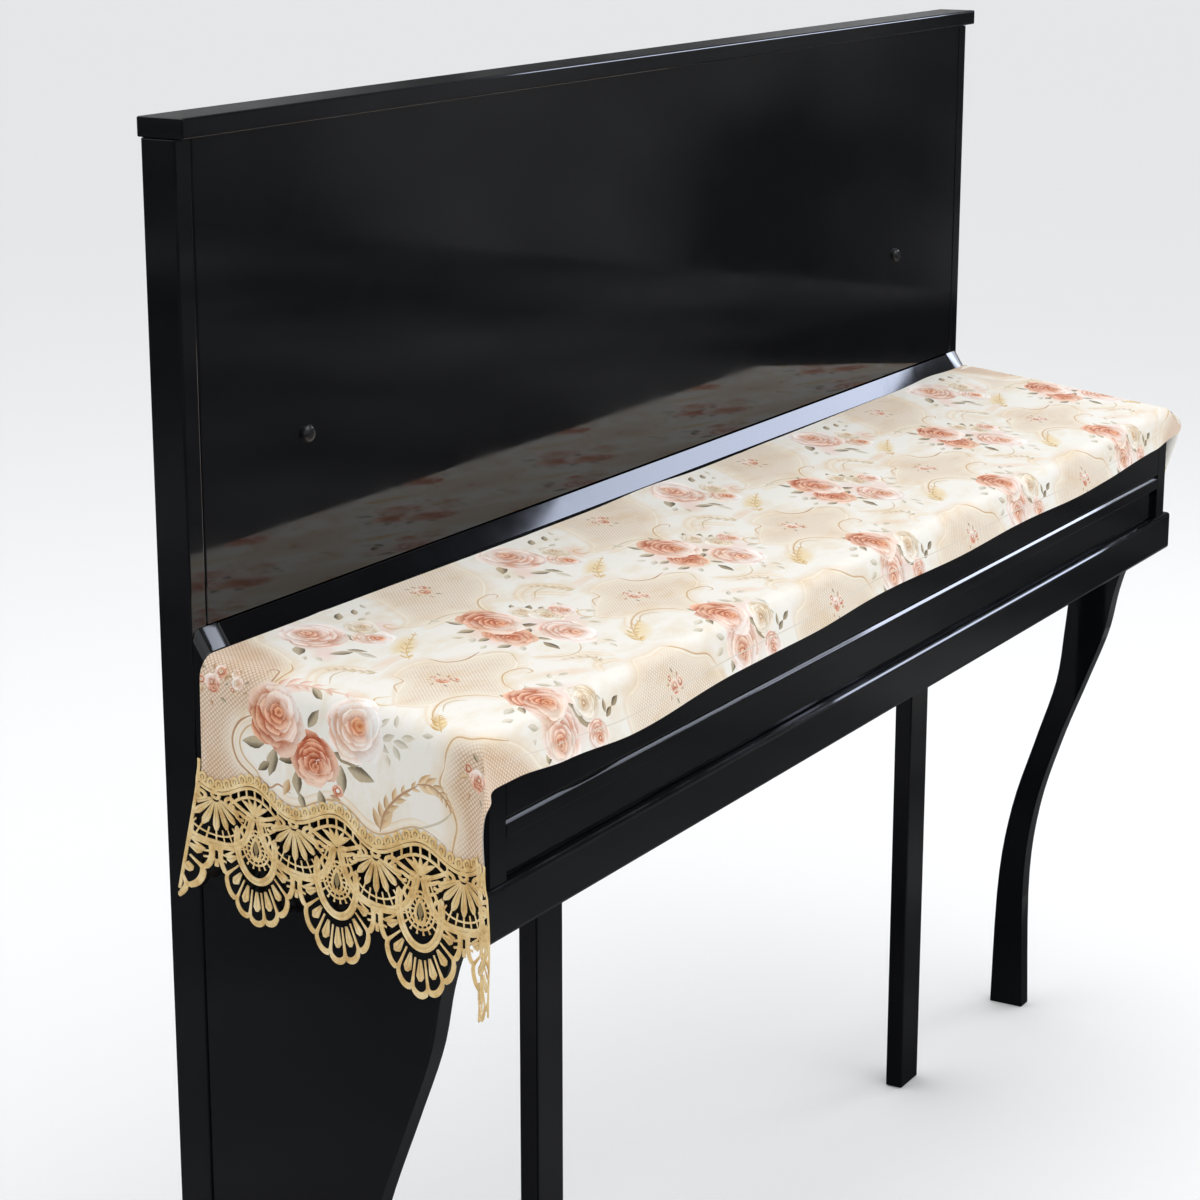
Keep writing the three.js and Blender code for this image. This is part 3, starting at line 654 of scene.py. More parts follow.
def print_round(outline, wide, kind, shading, per_span=4):
    """A stroke all round a panel."""
    print_stroke(list(outline) + [outline[0]], wide, kind, shading, per_span)


SPRIG_LEAVES = [
    # bearing, distance, length, kind
    (35, 0.9, 0.5, "brown"), (75, 1.05, 0.45, "grey"), (150, 0.85, 0.5, "ochre"),
    (205, 1.0, 0.4, "brown"), (255, 0.95, 0.5, "grey"), (330, 0.95, 0.45, "brown"),
]
SPRIG_LEAF_TURN, SPRIG_LEAF_WIDE = 25, 0.42


def print_sprig(s, t, size, turn, bloom):
    """A small spray: two roses and a bud, with thin leaves round them."""
    middle = np.array([s, t])
    for bearing, away, long, kind in SPRIG_LEAVES:
        at = middle + away * size * step_to(math.radians(bearing + turn))
        print_leaf(*at, size * long, bearing + turn + SPRIG_LEAF_TURN, kind, SPRIG_LEAF_WIDE)
    bud_at = middle + 0.72 * size * step_to(math.radians(turn + 115))
    second_at = middle + 0.8 * size * step_to(math.radians(turn))
    print_rose(*bud_at, size * 0.42, "dark_coral", turn)
    print_rose(*second_at, size * 0.7, bloom, turn + 90)
    print_rose(s, t, size, bloom, turn + 60)


# The tan panels and the scrolled borders of one repeat, at the first repeat's place
MID_PANEL = [
    (10, 86), (34, 101), (58, 111), (64, 124), (90, 130), (114, 126), (120, 114), (146, 105), (178, 90),
    (166, 74), (150, 66), (130, 64), (116, 54), (104, 40), (95, 36), (86, 40), (76, 54), (58, 64), (36, 66),
    (20, 74),
]
BACK_PANEL = [
    (168, 186), (188, 194), (202, 216), (214, 240), (228, 266), (338, 266), (342, 244), (332, 218),
    (318, 202), (296, 188), (276, 180), (266, 170), (257, 158), (248, 168), (232, 178), (206, 180),
    (186, 181),
]
FRONT_PANEL = [
    (198, -62), (198, -30), (204, -19), (222, -14), (233, -2), (240, 6), (262, 4), (288, 6), (300, -1),
    (322, -12), (346, -18), (354, -32), (352, -62),
]
CLOUDS = [
    # points, width
    ([(-6, 150), (10, 166), (34, 172), (54, 160), (62, 142)], 9),
    ([(-2, 46), (18, 60), (44, 70), (66, 63), (84, 44)], 8),
    ([(106, 42), (116, 58), (132, 68), (152, 70), (172, 62)], 8),
    ([(184, 68), (206, 54), (228, 42), (240, 24)], 7),
    ([(300, 150), (318, 162), (338, 152), (352, 134)], 8),
    ([(178, 172), (206, 172), (236, 170), (254, 156)], 6),
    ([(196, 10), (208, 22), (226, 20), (236, 10)], 7),
]
PEACH, HONEY, BLUSH = "EEDDCB", "EEDCB6", "F1DCD2"
SMUDGES = [
    # s, t, long, wide, turn, colour
    (128, 158, 74, 24, 25, HONEY), (312, 44, 64, 32, 30, HONEY), (6, 118, 40, 20, 60, PEACH),
    (216, 46, 70, 22, 160, PEACH), (330, 158, 64, 26, 30, PEACH), (176, 30, 60, 18, 150, PEACH),
    (70, 196, 50, 26, 40, BLUSH), (150, 196, 60, 30, 20, BLUSH), (276, 104, 96, 56, 10, BLUSH),
    (210, 120, 76, 56, 60, BLUSH), (120, -10, 96, 66, 30, BLUSH), (88, 146, 70, 16, 5, PEACH),
]
SCROLLS = [
    # points, width, kind
    ([(-4, 42), (18, 57), (42, 65), (60, 63), (76, 53), (86, 37)], 1.7, "ochre"),
    ([(24, 52), (40, 60), (54, 58), (60, 52)], 1.5, "wisp"),
    ([(105, 37), (114, 53), (130, 64), (146, 65), (158, 60), (156, 52), (148, 53)], 1.7, "ochre"),
    ([(166, 73), (180, 88), (172, 100), (160, 104)], 1.7, "wisp"),
    ([(10, 86), (2, 96), (10, 106), (24, 100)], 1.7, "gold"),
    ([(34, 101), (46, 112), (60, 113), (64, 126)], 1.5, "ochre"),
    ([(119, 128), (122, 114), (140, 106), (164, 108)], 1.7, "brown"),
    ([(256, 158), (264, 172), (278, 182), (296, 184), (302, 178), (294, 174)], 1.7, "ochre"),
    ([(258, 158), (248, 168), (228, 178), (204, 179), (190, 176)], 1.7, "wisp"),
    ([(170, 186), (158, 190), (160, 200), (172, 196)], 1.7, "gold"),
    ([(288, 7), (302, 0), (324, -11), (346, -17), (356, -30)], 1.6, "ochre"),
    ([(184, 72), (196, 60), (214, 50), (232, 52), (246, 62)], 1.5, "wisp"),
    ([(12, 150), (30, 160), (48, 158), (56, 146)], 1.5, "wisp"),
]
FEATHERS = [
    # stem, width of its lobes, kind
    ([(106, 138), (122, 152), (142, 162), (166, 172)], 9, "gold"),
    ([(288, 24), (298, 38), (316, 48), (338, 56)], 11, "gold"),
    ([(62, 138), (54, 150), (48, 164), (36, 172)], 8, "wisp"),
    ([(216, 22), (222, 34), (212, 44), (196, 50)], 7, "wisp"),
]
ROSES = [
    # s, t, across, kind, turn
    (279, 138, 27, "beige", 30),
    (290, 119, 31, "beige", 200),
    (309, 117, 28, "pale", 320),
    (217, 112, 43, "dark_coral", 240),
    (264, 85, 54, "pale", 300),
    (236, 143, 56, "coral", 290),
    (128, 190, 38, "peach_heart", 310),
    (97, 226, 63, "pale", 80),
    (142, 210, 31, "beige", 20),
    (146, -6, 36, "beige", 200),
    (150, -35, 29, "pale", 280),
    (100, -23, 54, "pale", 250),
    (101, 14, 54, "coral", 280),
]
LEAVES = [
    # s, t, long, turn, kind
    (210, 163, 17, 105, "grey"), (199, 144, 20, 160, "grey"), (184, 128, 15, 200, "faint"),
    (193, 122, 16, 175, "grey"), (191, 101, 17, 165, "grey"), (198, 87, 13, 215, "faint"),
    (222, 74, 21, 255, "dark"), (232, 88, 15, 300, "grey"), (292, 140, 17, 25, "dark"),
    (286, 128, 14, 330, "grey"), (253, 116, 19, 335, "dark"), (307, 91, 15, 340, "faint"),
    (303, 80, 12, 300, "faint"), (240, 108, 15, 200, "grey"), (262, 60, 14, 260, "faint"),
    (254, 52, 12, 220, "faint"), (270, 46, 13, 285, "faint"), (262, 38, 12, 250, "faint"),
    (79, 186, 22, 150, "grey"), (93, 180, 18, 300, "grey"), (90, 168, 19, 275, "faint"),
    (60, 214, 26, 215, "grey"), (116, 203, 18, 60, "grey"), (152, 240, 18, 35, "grey"),
    (172, 238, 15, 40, "grey"), (190, 242, 11, 60, "faint"), (178, 228, 11, 20, "faint"),
    (62, 16, 18, 190, "faint"), (72, 10, 15, 230, "grey"), (89, 36, 12, 100, "grey"),
    (119, 34, 12, 60, "faint"), (134, 28, 15, 120, "faint"), (146, 22, 14, 60, "faint"),
    (141, 18, 12, 330, "faint"),
    (136, -20, 24, 320, "dark"), (126, -10, 18, 300, "grey"), (172, -22, 13, 30, "dark"),
    (168, -16, 12, 80, "grey"), (184, -16, 14, 25, "dark"), (78, -34, 20, 230, "grey"),
    (66, -8, 15, 160, "faint"), (60, -20, 14, 200, "faint"), (161, -8, 12, 340, "faint"),
    (318, 108, 14, 20, "faint"), (326, 98, 12, 330, "faint"), (322, 126, 12, 60, "faint"),
    (176, 112, 12, 190, "faint"), (180, 140, 12, 150, "faint"), (204, 178, 12, 110, "faint"),
    (46, 200, 14, 200, "faint"), (54, 190, 12, 240, "faint"), (160, 222, 13, 10, "faint"),
    (156, 36, 12, 30, "faint"), (168, 30, 12, 350, "faint"), (44, 6, 14, 170, "faint"),
    (248, 166, 12, 80, "grey"), (284, 152, 12, 40, "grey"), (300, 132, 11, 20, "grey"),
]
SPRIGS = [(84, 92, 13, 330, "coral"), (262, 228, 14, 40, "coral"), (279, -28, 13, 10, "coral")]
REPEATS = 5
WASH_SPREAD = 2.2
# The roses and leaves that would lie past the lid's ends are left to the drops.
LID_FROM, LID_TO = 8.0, LENGTH - 4.0


def on_lid(rows, start):
    return [row for row in rows if LID_FROM < start + row[0] < LID_TO]


def moved(points, start, way=1):
    """Flat points counted from a start, along the cloth or, if the way is -1, back."""
    return [(start + way * s, t) for s, t in points]


def turned(turn, way):
    return turn if way > 0 else 180 - turn


def print_motifs(start, way, scrolls, feathers, leaves, sprigs, roses):
    """Lays strokes, feathers, leaves, sprays and roses, mirrored if the way is -1."""
    for points, wide, kind in scrolls:
        print_stroke(moved(points, start, way), wide, kind)
    for points, wide, kind in feathers:
        print_feather(moved(points, start, way), wide, kind)
    for s, t, long, turn, kind in leaves:
        print_leaf(start + way * s, t, long, turned(turn, way), kind)
    for s, t, size, turn, bloom in sprigs:
        print_sprig(start + way * s, t, size, turned(turn, way), bloom)
    for s, t, across, kind, turn in roses:
        print_rose(start + way * s, t, across, kind, turned(turn, way))


for start in np.arange(REPEATS) * PRINT_REPEAT:
    panels = [moved(panel, start) for panel in (MID_PANEL, BACK_PANEL, FRONT_PANEL)]
    for s, t, long, wide, turn, colour in SMUDGES:
        print_smudge(start + s, t, long, wide, turn, colour)
    for points, wide in CLOUDS:
        print_stroke(moved(points, start), WASH_SPREAD * wide, "wash", WASH, 3)
    for panel in panels:
        print_round(panel, WASH_WIDE, "wash", WASH, 2)
    for points, wide in CLOUDS:
        print_stroke(moved(points, start), wide, "cloud", CLOUD)
    for panel in panels:
        print_panel(panel, LID_TAN)
        print_round(panel, BORDER_WIDE, "cloud", CLOUD)
for start in np.arange(REPEATS) * PRINT_REPEAT:
    print_motifs(start, 1, SCROLLS, FEATHERS, on_lid(LEAVES, start), SPRIGS, on_lid(ROSES, start))

# The left drop: a white panel with one bouquet between two tan panels. The right drop mirrors it.
DROP_PANELS = [
    [(-130, 270), (-130, 214), (-100, 204), (-88, 206), (-78, 222), (-62, 226), (-46, 219), (-36, 204),
     (-20, 197), (-10, 190), (2, 187), (18, 191), (32, 202), (44, 224), (52, 250), (54, 270)],
    [(-130, -64), (-130, 20), (-108, 22), (-88, 18), (-74, 16), (-58, 23), (-46, 30), (-32, 27), (-16, 25),
     (-6, 20), (-3, 6), (10, -2), (28, -9), (46, -20), (60, -36), (64, -64)],
]
DROP_SCROLLS = [
    ([(-104, 204), (-90, 206), (-79, 222), (-62, 227), (-46, 220), (-36, 205)], 2.0, "brown"),
    ([(-98, 198), (-84, 202), (-74, 216), (-62, 220), (-50, 214), (-42, 202)], 1.6, "ochre"),
    ([(-36, 205), (-22, 198), (-10, 191), (2, 187), (18, 190), (30, 200)], 2.0, "ochre"),
    ([(-16, 196), (-4, 192), (6, 194), (8, 200), (0, 202)], 1.8, "brown"),
    ([(-106, 22), (-88, 18), (-74, 16), (-58, 23), (-46, 31), (-32, 27)], 2.0, "ochre"),
    ([(-32, 27), (-18, 25), (-6, 20), (-3, 6), (10, -2), (30, -9)], 2.0, "ochre"),
    ([(-92, 62), (-84, 44), (-76, 30), (-66, 20)], 2.0, "faint"),
    ([(-86, 200), (-92, 190), (-86, 180), (-90, 168)], 1.6, "brown"),
]
# A soft band and a thin line follow the waved heading of the lace.
HEADING_DROP, BAND_OVER, LINE_OVER = 97.0, 15.0, 11.0
BAND_PLACES, LINE_PLACES = (
    [(hung_s(HEADING_DROP + heading_wave(t) - over, True), t) for t in np.arange(26.0, 200.0, 12.0)]
    for over in (BAND_OVER, LINE_OVER)
)
DROP_CLOUDS = [(BAND_PLACES, 7)]
DROP_LINES = [(LINE_PLACES, 1.5, "ochre")]
DROP_FEATHERS = [
    ([(-98, 84), (-82, 80), (-66, 68), (-52, 50)], 14, "ochre"),
    ([(-52, 52), (-50, 40), (-56, 28), (-66, 20)], 11, "ochre"),
    ([(-100, 64), (-94, 52), (-92, 40)], 9, "gold"),
    ([(-6, 34), (4, 42), (16, 50)], 11, "gold"),
    ([(-14, 188), (-4, 172), (0, 150), (4, 118)], 13, "blush"),
]
DROP_LEAVES = [
    (-59, 206, 24, 100, "grey"), (-70, 187, 27, 165, "grey"), (-62, 170, 21, 110, "dark"),
    (-80, 162, 20, 185, "grey"), (-86, 172, 16, 160, "ochre"), (-90, 141, 18, 190, "grey"),
    (-68, 122, 25, 185, "grey"), (-50, 121, 18, 250, "dark"), (-58, 103, 27, 262, "grey"),
    (-50, 110, 18, 290, "dark"), (-25, 148, 19, 330, "grey"), (-5, 150, 16, 60, "grey"),
    (-30, 84, 16, 240, "faint"), (-22, 78, 14, 300, "faint"), (-24, 66, 15, 265, "faint"),
    (-32, 70, 13, 210, "faint"), (-18, 60, 13, 280, "faint"), (-84, 128, 11, 260, "brown"),
    (-12, 84, 12, 320, "faint"), (-8, 74, 11, 20, "faint"), (-40, 78, 10, 200, "faint"),
    (-76, 196, 16, 130, "dark"), (-94, 158, 14, 200, "grey"), (-12, 44, 10, 100, "faint"),
]
DROP_ROSES = [
    (-57, 148, 44, "dark_coral", 200),
    (-24, 112, 54, "peach_heart", 300),
    (-34, 186, 56, "coral", 320),
    (-78, 126, 10, "dark_coral", 320),
]
DROP_SPRIGS = [(-22, 246, 16, 330, "coral"), (-16, 222, 10, 30, "peach_heart"), (-34, -6, 18, 300, "coral")]

for start, way in ((0.0, 1), (LENGTH, -1)):
    for panel in DROP_PANELS:
        outline = moved(panel, start, way)
        print_round(outline, WASH_WIDE, "wash", WASH, 2)
        # The drop panels take the darker tan, which holds painted shade.
        print_panel(outline, DROP_TAN_IN_PAINTED_SHADE)
        print_round(outline, BORDER_WIDE, "cloud", CLOUD)
    for points, wide in DROP_CLOUDS:
        print_stroke(moved(points, start, way), wide, "cloud", CLOUD)
    print_motifs(
        start, way, DROP_SCROLLS + DROP_LINES, DROP_FEATHERS, DROP_LEAVES, DROP_SPRIGS, DROP_ROSES,
    )

# The front hem's row of stitches
HEM_WIDE = 14.0
hem_line = [(s, front_hem(s) + HEM_WIDE) for s in np.arange(-40.0, LENGTH + 40.0, 20.0)]
print_stroke(hem_line, 1.0, "stitch")


# Cover cloth. One length of printed cotton, hemmed along the front and back, laid over the lid.
# Its mesh is cut along the outlines of the print, so every shape has its own faces.
CLOTH_THICK = 0.0008
GRID, GRID_MARGIN, CORNER_GRID, CORNER_REACH = 8.0, 2.0, 4.0, 30.0
GRID_S, GRID_T = (-130.0, LENGTH + 130.0), (-60.0, 268.0)
# A small shift keeps the grid off the whole millimetres of the print's tables.
GRID_SHIFT = (0.31, 0.17)
# Points closer than this count as one.
SAME_POINT = 0.01
UNDER_LACE = 1.0
EDGE_STEP = 4.0
END_DROP = 95.0


def end_s(t, is_left):
    return hung_s(crest_drop(t) + heading_wave(t) - UNDER_LACE, is_left)


def corner_t(edge):
    """Where a hem meets the left and the right end."""
    return [float(edge(hung_s(END_DROP, is_left))) for is_left in (True, False)]


def cloth_outline():
    front_left, front_right = corner_t(front_hem)
    back_left, back_right = corner_t(back_edge)
    front_s = np.arange(end_s(front_left, True) + EDGE_STEP, end_s(front_right, False) - 1, EDGE_STEP)
    back_s = np.arange(end_s(back_right, False) - EDGE_STEP, end_s(back_left, True) + 1, -EDGE_STEP)
    right_t = np.arange(front_right, back_right, EDGE_STEP)
    left_t = np.arange(back_left, front_left, -EDGE_STEP)
    front = np.stack([front_s, front_hem(front_s)], 1)
    right = np.stack([end_s(right_t, False), right_t], 1)
    back = np.stack([back_s, back_edge(back_s)], 1)
    left = np.stack([end_s(left_t, True), left_t], 1)
    return np.vstack([front, right, back, left])


def inside_cloth(s, t, margin):
    between = (t > front_hem(s) + margin) & (t < back_edge(s) - margin)
    return between & (s > end_s(t, True) + margin) & (s < end_s(t, False) - margin)


def flat_grid(step, margin):
    """Points over the flat cloth, closer together at the front corners, where it folds."""
    runs = []
    for spacing in (step, CORNER_GRID):
        s, t = np.meshgrid(np.arange(*GRID_S, spacing), np.arange(*GRID_T, spacing))
        s, t = s.ravel() + GRID_SHIFT[0], t.ravel() + GRID_SHIFT[1]
        in_corner = (t < CORNER_REACH) & ((s < CORNER_REACH) | (s > LENGTH - CORNER_REACH))
        keep = inside_cloth(s, t, margin) & (in_corner == (spacing == CORNER_GRID))
        runs.append(np.stack([s[keep], t[keep]], 1))
    return np.vstack(runs)


def covers(outline, points):
    """Which points lie inside an outline."""
    inside = np.zeros(len(points), bool)
    x, y = points.T
    for (x0, y0), (x1, y1) in zip(outline, np.roll(outline, -1, axis=0)):
        if y0 == y1:
            continue
        crosses = (y0 > y) != (y1 > y)
        inside ^= crosses & (x < x0 + (x1 - x0) * (y - y0) / (y1 - y0))
    return inside


def cut_along(outlines, loose_points):
    """Triangles over the first outline, cut along every other, each owned by the last outline over it."""
    points, edges = [], []
    for outline in outlines:
        first, count = len(points), len(outline)
        edges.extend((first + i, first + (i + 1) % count) for i in range(count))
        points.extend(map(tuple, outline))
    points.extend(map(tuple, loose_points))
    cut = delaunay_2d_cdt([Vector(point) for point in points], edges, [], 0, SAME_POINT)
    flat, triangles = np.array([tuple(v) for v in cut[0]]), np.array(cut[2])
    middles = flat[triangles].mean(1)
    by_s = np.argsort(middles[:, 0])
    sorted_s = middles[by_s, 0]
    owners = np.zeros(len(triangles), int)
    for number, outline in enumerate(outlines[1:], 1):
        low, high = outline.min(0), outline.max(0)
        near = by_s[np.searchsorted(sorted_s, low[0]) : np.searchsorted(sorted_s, high[0])]
        near = near[(middles[near, 1] > low[1]) & (middles[near, 1] < high[1])]
        owners[near[covers(outline, middles[near])]] = number
    kept = covers(outlines[0], middles)
    return flat, triangles[kept], owners[kept]


outlines = [cloth_outline()] + [shape[0] for shape in printed_shapes]
flat, triangles, owners = cut_along(outlines, flat_grid(GRID, GRID_MARGIN))
used, renumbered = np.unique(triangles, return_inverse=True)
flat, triangles = flat[used], renumbered.reshape(-1, 3)


def rim_loop(triangles):
    """The points along the rim of a flat sheet, in order."""
    rim = set()
    for a, b, c in triangles.tolist():
        for i, j in ((a, b), (b, c), (c, a)):
            if (j, i) in rim:
                rim.remove((j, i))
            else:
                rim.add((i, j))
    after = dict(rim)
    loop = [min(after)]
    while after[loop[-1]] != loop[0] and len(loop) <= len(rim):
        loop.append(after[loop[-1]])
    return loop


def lie_of_cloth(s, t):
    return drape(s, t) + normals_of(drape, s, t) * crease_rise(s, t)[:, None] / 1000


# The underside is plain, so it has fewer faces. It shares the rim's points with the top.
UNDER_GRID, UNDER_MARGIN, SAME_RIM_POINT = 15.0, 3.0, 0.0001
loop = rim_loop(triangles)
rim_points = [Vector(flat[i]) for i in loop]
inner_points = [Vector(point) for point in flat_grid(UNDER_GRID, UNDER_MARGIN)]
under = delaunay_2d_cdt(rim_points + inner_points, [], [list(range(len(loop)))], 1, SAME_RIM_POINT)
under_flat = np.array([tuple(v) for v in under[0]])
under_of = {source: new for new, sources in enumerate(under[3]) for source in sources}
first_under = len(flat)
below = [first_under + under_of[k] for k in range(len(loop))]
top_normal, under_normal = (normals_of(lie_of_cloth, *sheet.T) for sheet in (flat, under_flat))
places = np.vstack([
    lie_of_cloth(*flat.T) + top_normal * CLOTH_THICK / 2,
    lie_of_cloth(*under_flat.T) - under_normal * CLOTH_THICK / 2,
])
faces = triangles.tolist() + [[first_under + i for i in reversed(face)] for face in under[2]]
for k, i in enumerate(loop):
    ahead = (k + 1) % len(loop)
    faces.append([i, below[k], below[ahead], loop[ahead]])


def new_sheet(name, places, faces):
    mesh = bpy.data.meshes.new(name)
    mesh.from_pydata(places.tolist(), [], faces)
    mesh.polygons.foreach_set("use_smooth", np.ones(len(faces), bool))
    sheet = bpy.data.objects.new(name, mesh)
    bpy.context.collection.objects.link(sheet)
    return sheet, mesh


cloth, cloth_mesh = new_sheet("printed_cover_cloth", places, faces)

# Every face corner gets its flat place, its place within its printed shape and the shape's colours.
# Where nothing is printed it gets those of the white ground.
GROUND_DEEP, GROUND_LIGHT, GROUND_SHARE = ink("EAE6DC"), ink("F6F3EB"), 0.6
corner_points = np.zeros(len(cloth_mesh.loops), int)
cloth_mesh.loops.foreach_get("vertex_index", corner_points)
all_flat = np.vstack([flat, under_flat])
corner_flat = all_flat[corner_points]
flat_map = cloth_mesh.uv_layers.new(name="flat_cloth")
flat_map.data.foreach_set("uv", (corner_flat / 1000).ravel())
in_shape = np.zeros((len(corner_points), 3), np.float32)
follows = np.zeros((len(corner_points), 3), np.float32)
in_shape[:, 2] = GROUND_SHARE
deep, light = np.ones((2, len(corner_points), 4), np.float32)
deep[:, :3], light[:, :3] = GROUND_DEEP, GROUND_LIGHT
corner_owner = np.concatenate([np.repeat(owners, 3), np.zeros(len(corner_points) - 3 * len(owners), int)])
order = np.argsort(corner_owner, kind="stable")
starts = np.searchsorted(corner_owner[order], np.arange(len(printed_shapes) + 2))
for number, (_, kind, paint) in enumerate(printed_shapes, 1):
    corners = order[starts[number] : starts[number + 1]]
    if len(corners) > 0:
        across, along, deep[corners, :3], light[corners, :3] = paint(corner_flat[corners])
        in_shape[corners] = np.stack([across, along, np.full(len(corners), kind[3])], 1)
        follows[corners] = kind[:3]
CORNER_VALUES = [
    # name, kind, the field that holds it, values
    ("in_shape", "FLOAT_VECTOR", "vector", in_shape),
    ("follows", "FLOAT_VECTOR", "vector", follows),
    ("deep", "FLOAT_COLOR", "color", deep),
    ("light", "FLOAT_COLOR", "color", light),
]
for name, kind, field, values in CORNER_VALUES:
    cloth_mesh.attributes.new(name, kind, "CORNER").data.foreach_set(field, values.ravel())
cloth_mesh.normals_split_custom_set_from_vertices(np.vstack([top_normal, -under_normal]).tolist())

# Printed cotton: matt, with soft washes of colour inside each shape and the grain of a plain weave.
cotton, tree, shader = new_material("printed_cotton")
shader.inputs["Roughness"].default_value = 0.82
shader.inputs["Specular IOR Level"].default_value = 0.25
shader.inputs["Sheen Weight"].default_value = 0.1
shader.inputs["Sheen Roughness"].default_value = 0.5
shape_place, shape_follows, deep_ink, light_ink = (
    add_node(tree, "ShaderNodeAttribute", attribute_name=row[0]) for row in CORNER_VALUES
)
flat_place = add_node(tree, "ShaderNodeUVMap", uv_map="flat_cloth")
shape_parts = add_node(tree, "ShaderNodeSeparateXYZ", [(shape_place.outputs["Vector"], 0)])

# Washes: a fine grain of ink over all, and veins that run along petals and leaves
GRAIN_MM, WASH_DEPTH = 2.4, 0.5
grain = add_node(
    tree, "ShaderNodeTexNoise", [(flat_place.outputs["UV"], "Vector")],
    in_2=1000 / GRAIN_MM, in_3=3.0, in_4=0.6,
)
vein_place = add_node(
    tree, "ShaderNodeVectorMath", [(shape_place.outputs["Vector"], 0)],
    operation="MULTIPLY", in_1=(4.0, 0.8, 3.0),
)
veins = add_node(
    tree, "ShaderNodeTexNoise", [(vein_place.outputs["Vector"], "Vector")], in_2=1.6, in_3=2.0, in_4=0.5,
)
washes = add_node(
    tree, "ShaderNodeMath", [(grain.outputs["Fac"], 0), (veins.outputs["Fac"], 1)], operation="ADD",
)
wash = add_node(
    tree, "ShaderNodeMath", [(washes.outputs[0], 0)],
    operation="MULTIPLY_ADD", in_1=WASH_DEPTH, in_2=-WASH_DEPTH,
)

# Trellis: two sets of fine slanting lines, 2.9 mm apart. Its value is low on a line, high between.
TRELLIS_MM = 2.9
slanted = add_node(
    tree, "ShaderNodeMapping", [(flat_place.outputs["UV"], "Vector")], in_2=(0, 0, math.radians(45)),
)
slant_axes = add_node(tree, "ShaderNodeSeparateXYZ", [(slanted.outputs["Vector"], 0)])
lines = []
for axis in slant_axes.outputs[:2]:
    turns = add_node(
        tree, "ShaderNodeMath", [(axis, 0)], operation="MULTIPLY", in_1=2000 * math.pi / TRELLIS_MM,
    )
    swing = add_node(tree, "ShaderNodeMath", [(turns.outputs[0], 0)], operation="COSINE")
    lines.append(add_node(
        tree, "ShaderNodeMapRange", [(swing.outputs[0], "Value")], in_1=0.3, in_2=0.95, in_3=1.0, in_4=0.0,
    ))
trellis = add_node(
    tree, "ShaderNodeMath", [(lines[0].outputs[0], 0), (lines[1].outputs[0], 1)], operation="MULTIPLY",
)

# The lighter ink's share, and the colour
from_middle = add_node(tree, "ShaderNodeMath", [(shape_parts.outputs[0], 0)], operation="ABSOLUTE")
measures = add_node(
    tree, "ShaderNodeCombineXYZ",
    [(shape_parts.outputs[1], 0), (from_middle.outputs[0], 1), (trellis.outputs[0], 2)],
)
followed = add_node(
    tree, "ShaderNodeVectorMath", [(measures.outputs[0], 0), (shape_follows.outputs["Vector"], 1)],
    operation="DOT_PRODUCT",
)
shaded = add_node(
    tree, "ShaderNodeMath", [(followed.outputs["Value"], 0), (shape_parts.outputs[2], 1)], operation="ADD",
)
share = add_node(
    tree, "ShaderNodeMath", [(shaded.outputs[0], 0), (wash.outputs[0], 1)], operation="ADD", use_clamp=True,
)
printed = add_node(
    tree, "ShaderNodeMix",
    [(share.outputs[0], "Factor"), (deep_ink.outputs["Color"], 6), (light_ink.outputs["Color"], 7)],
    data_type="RGBA",
)
# Soft clouds of cream lie over the whole print, longer along the cloth than across it.
CLOUD_LONG_MM, CLOUD_WIDE_MM = 64.0, 30.0
cloud_place = add_node(
    tree, "ShaderNodeVectorMath", [(flat_place.outputs["UV"], 0)],
    operation="MULTIPLY", in_1=(1000 / CLOUD_LONG_MM, 1000 / CLOUD_WIDE_MM, 0),
)
clouds = add_node(
    tree, "ShaderNodeTexNoise", [(cloud_place.outputs["Vector"], "Vector")], in_2=1.0, in_3=5.0, in_4=0.62,
)
cream = add_node(tree, "ShaderNodeMapRange", [(clouds.outputs["Fac"], "Value")], in_1=0.48, in_2=0.66)
clouded = add_node(
    tree, "ShaderNodeMix", [(cream.outputs["Result"], "Factor"), (printed.outputs[2], 6)],
    data_type="RGBA", blend_type="MULTIPLY", in_7=to_linear("F9F1E5"),
)
tree.links.new(clouded.outputs[2], shader.inputs["Base Color"])

# Plain weave, drawn at 1.1 mm because the real 0.4 mm threads are finer than the picture shows
WEAVE_MM = 1.1
weave_axes = add_node(tree, "ShaderNodeSeparateXYZ", [(flat_place.outputs["UV"], 0)])
threads = []
for axis in weave_axes.outputs[:2]:
    turns = add_node(
        tree, "ShaderNodeMath", [(axis, 0)], operation="MULTIPLY", in_1=2000 * math.pi / WEAVE_MM,
    )
    threads.append(add_node(tree, "ShaderNodeMath", [(turns.outputs[0], 0)], operation="SINE"))
weave = add_node(
    tree, "ShaderNodeMath", [(threads[0].outputs[0], 0), (threads[1].outputs[0], 1)], operation="MULTIPLY",
)
raised = add_node(
    tree, "ShaderNodeMath", [(grain.outputs["Fac"], 0), (weave.outputs[0], 2)],
    operation="MULTIPLY_ADD", in_1=1.2,
)
surface = add_node(tree, "ShaderNodeBump", [(raised.outputs[0], "Height")], in_0=0.12, in_1=0.0002)
tree.links.new(surface.outputs["Normal"], shader.inputs["Normal"])
cloth_mesh.materials.append(cotton)
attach(cloth, "root")
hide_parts("cover_cloth")


# Lace ends. Chemical lace, worked on a film that is washed away, so it is all satin-stitched
# cords: a waved heading with picots, fans, eyes and a scalloped foot. Each is sewn to the cloth.

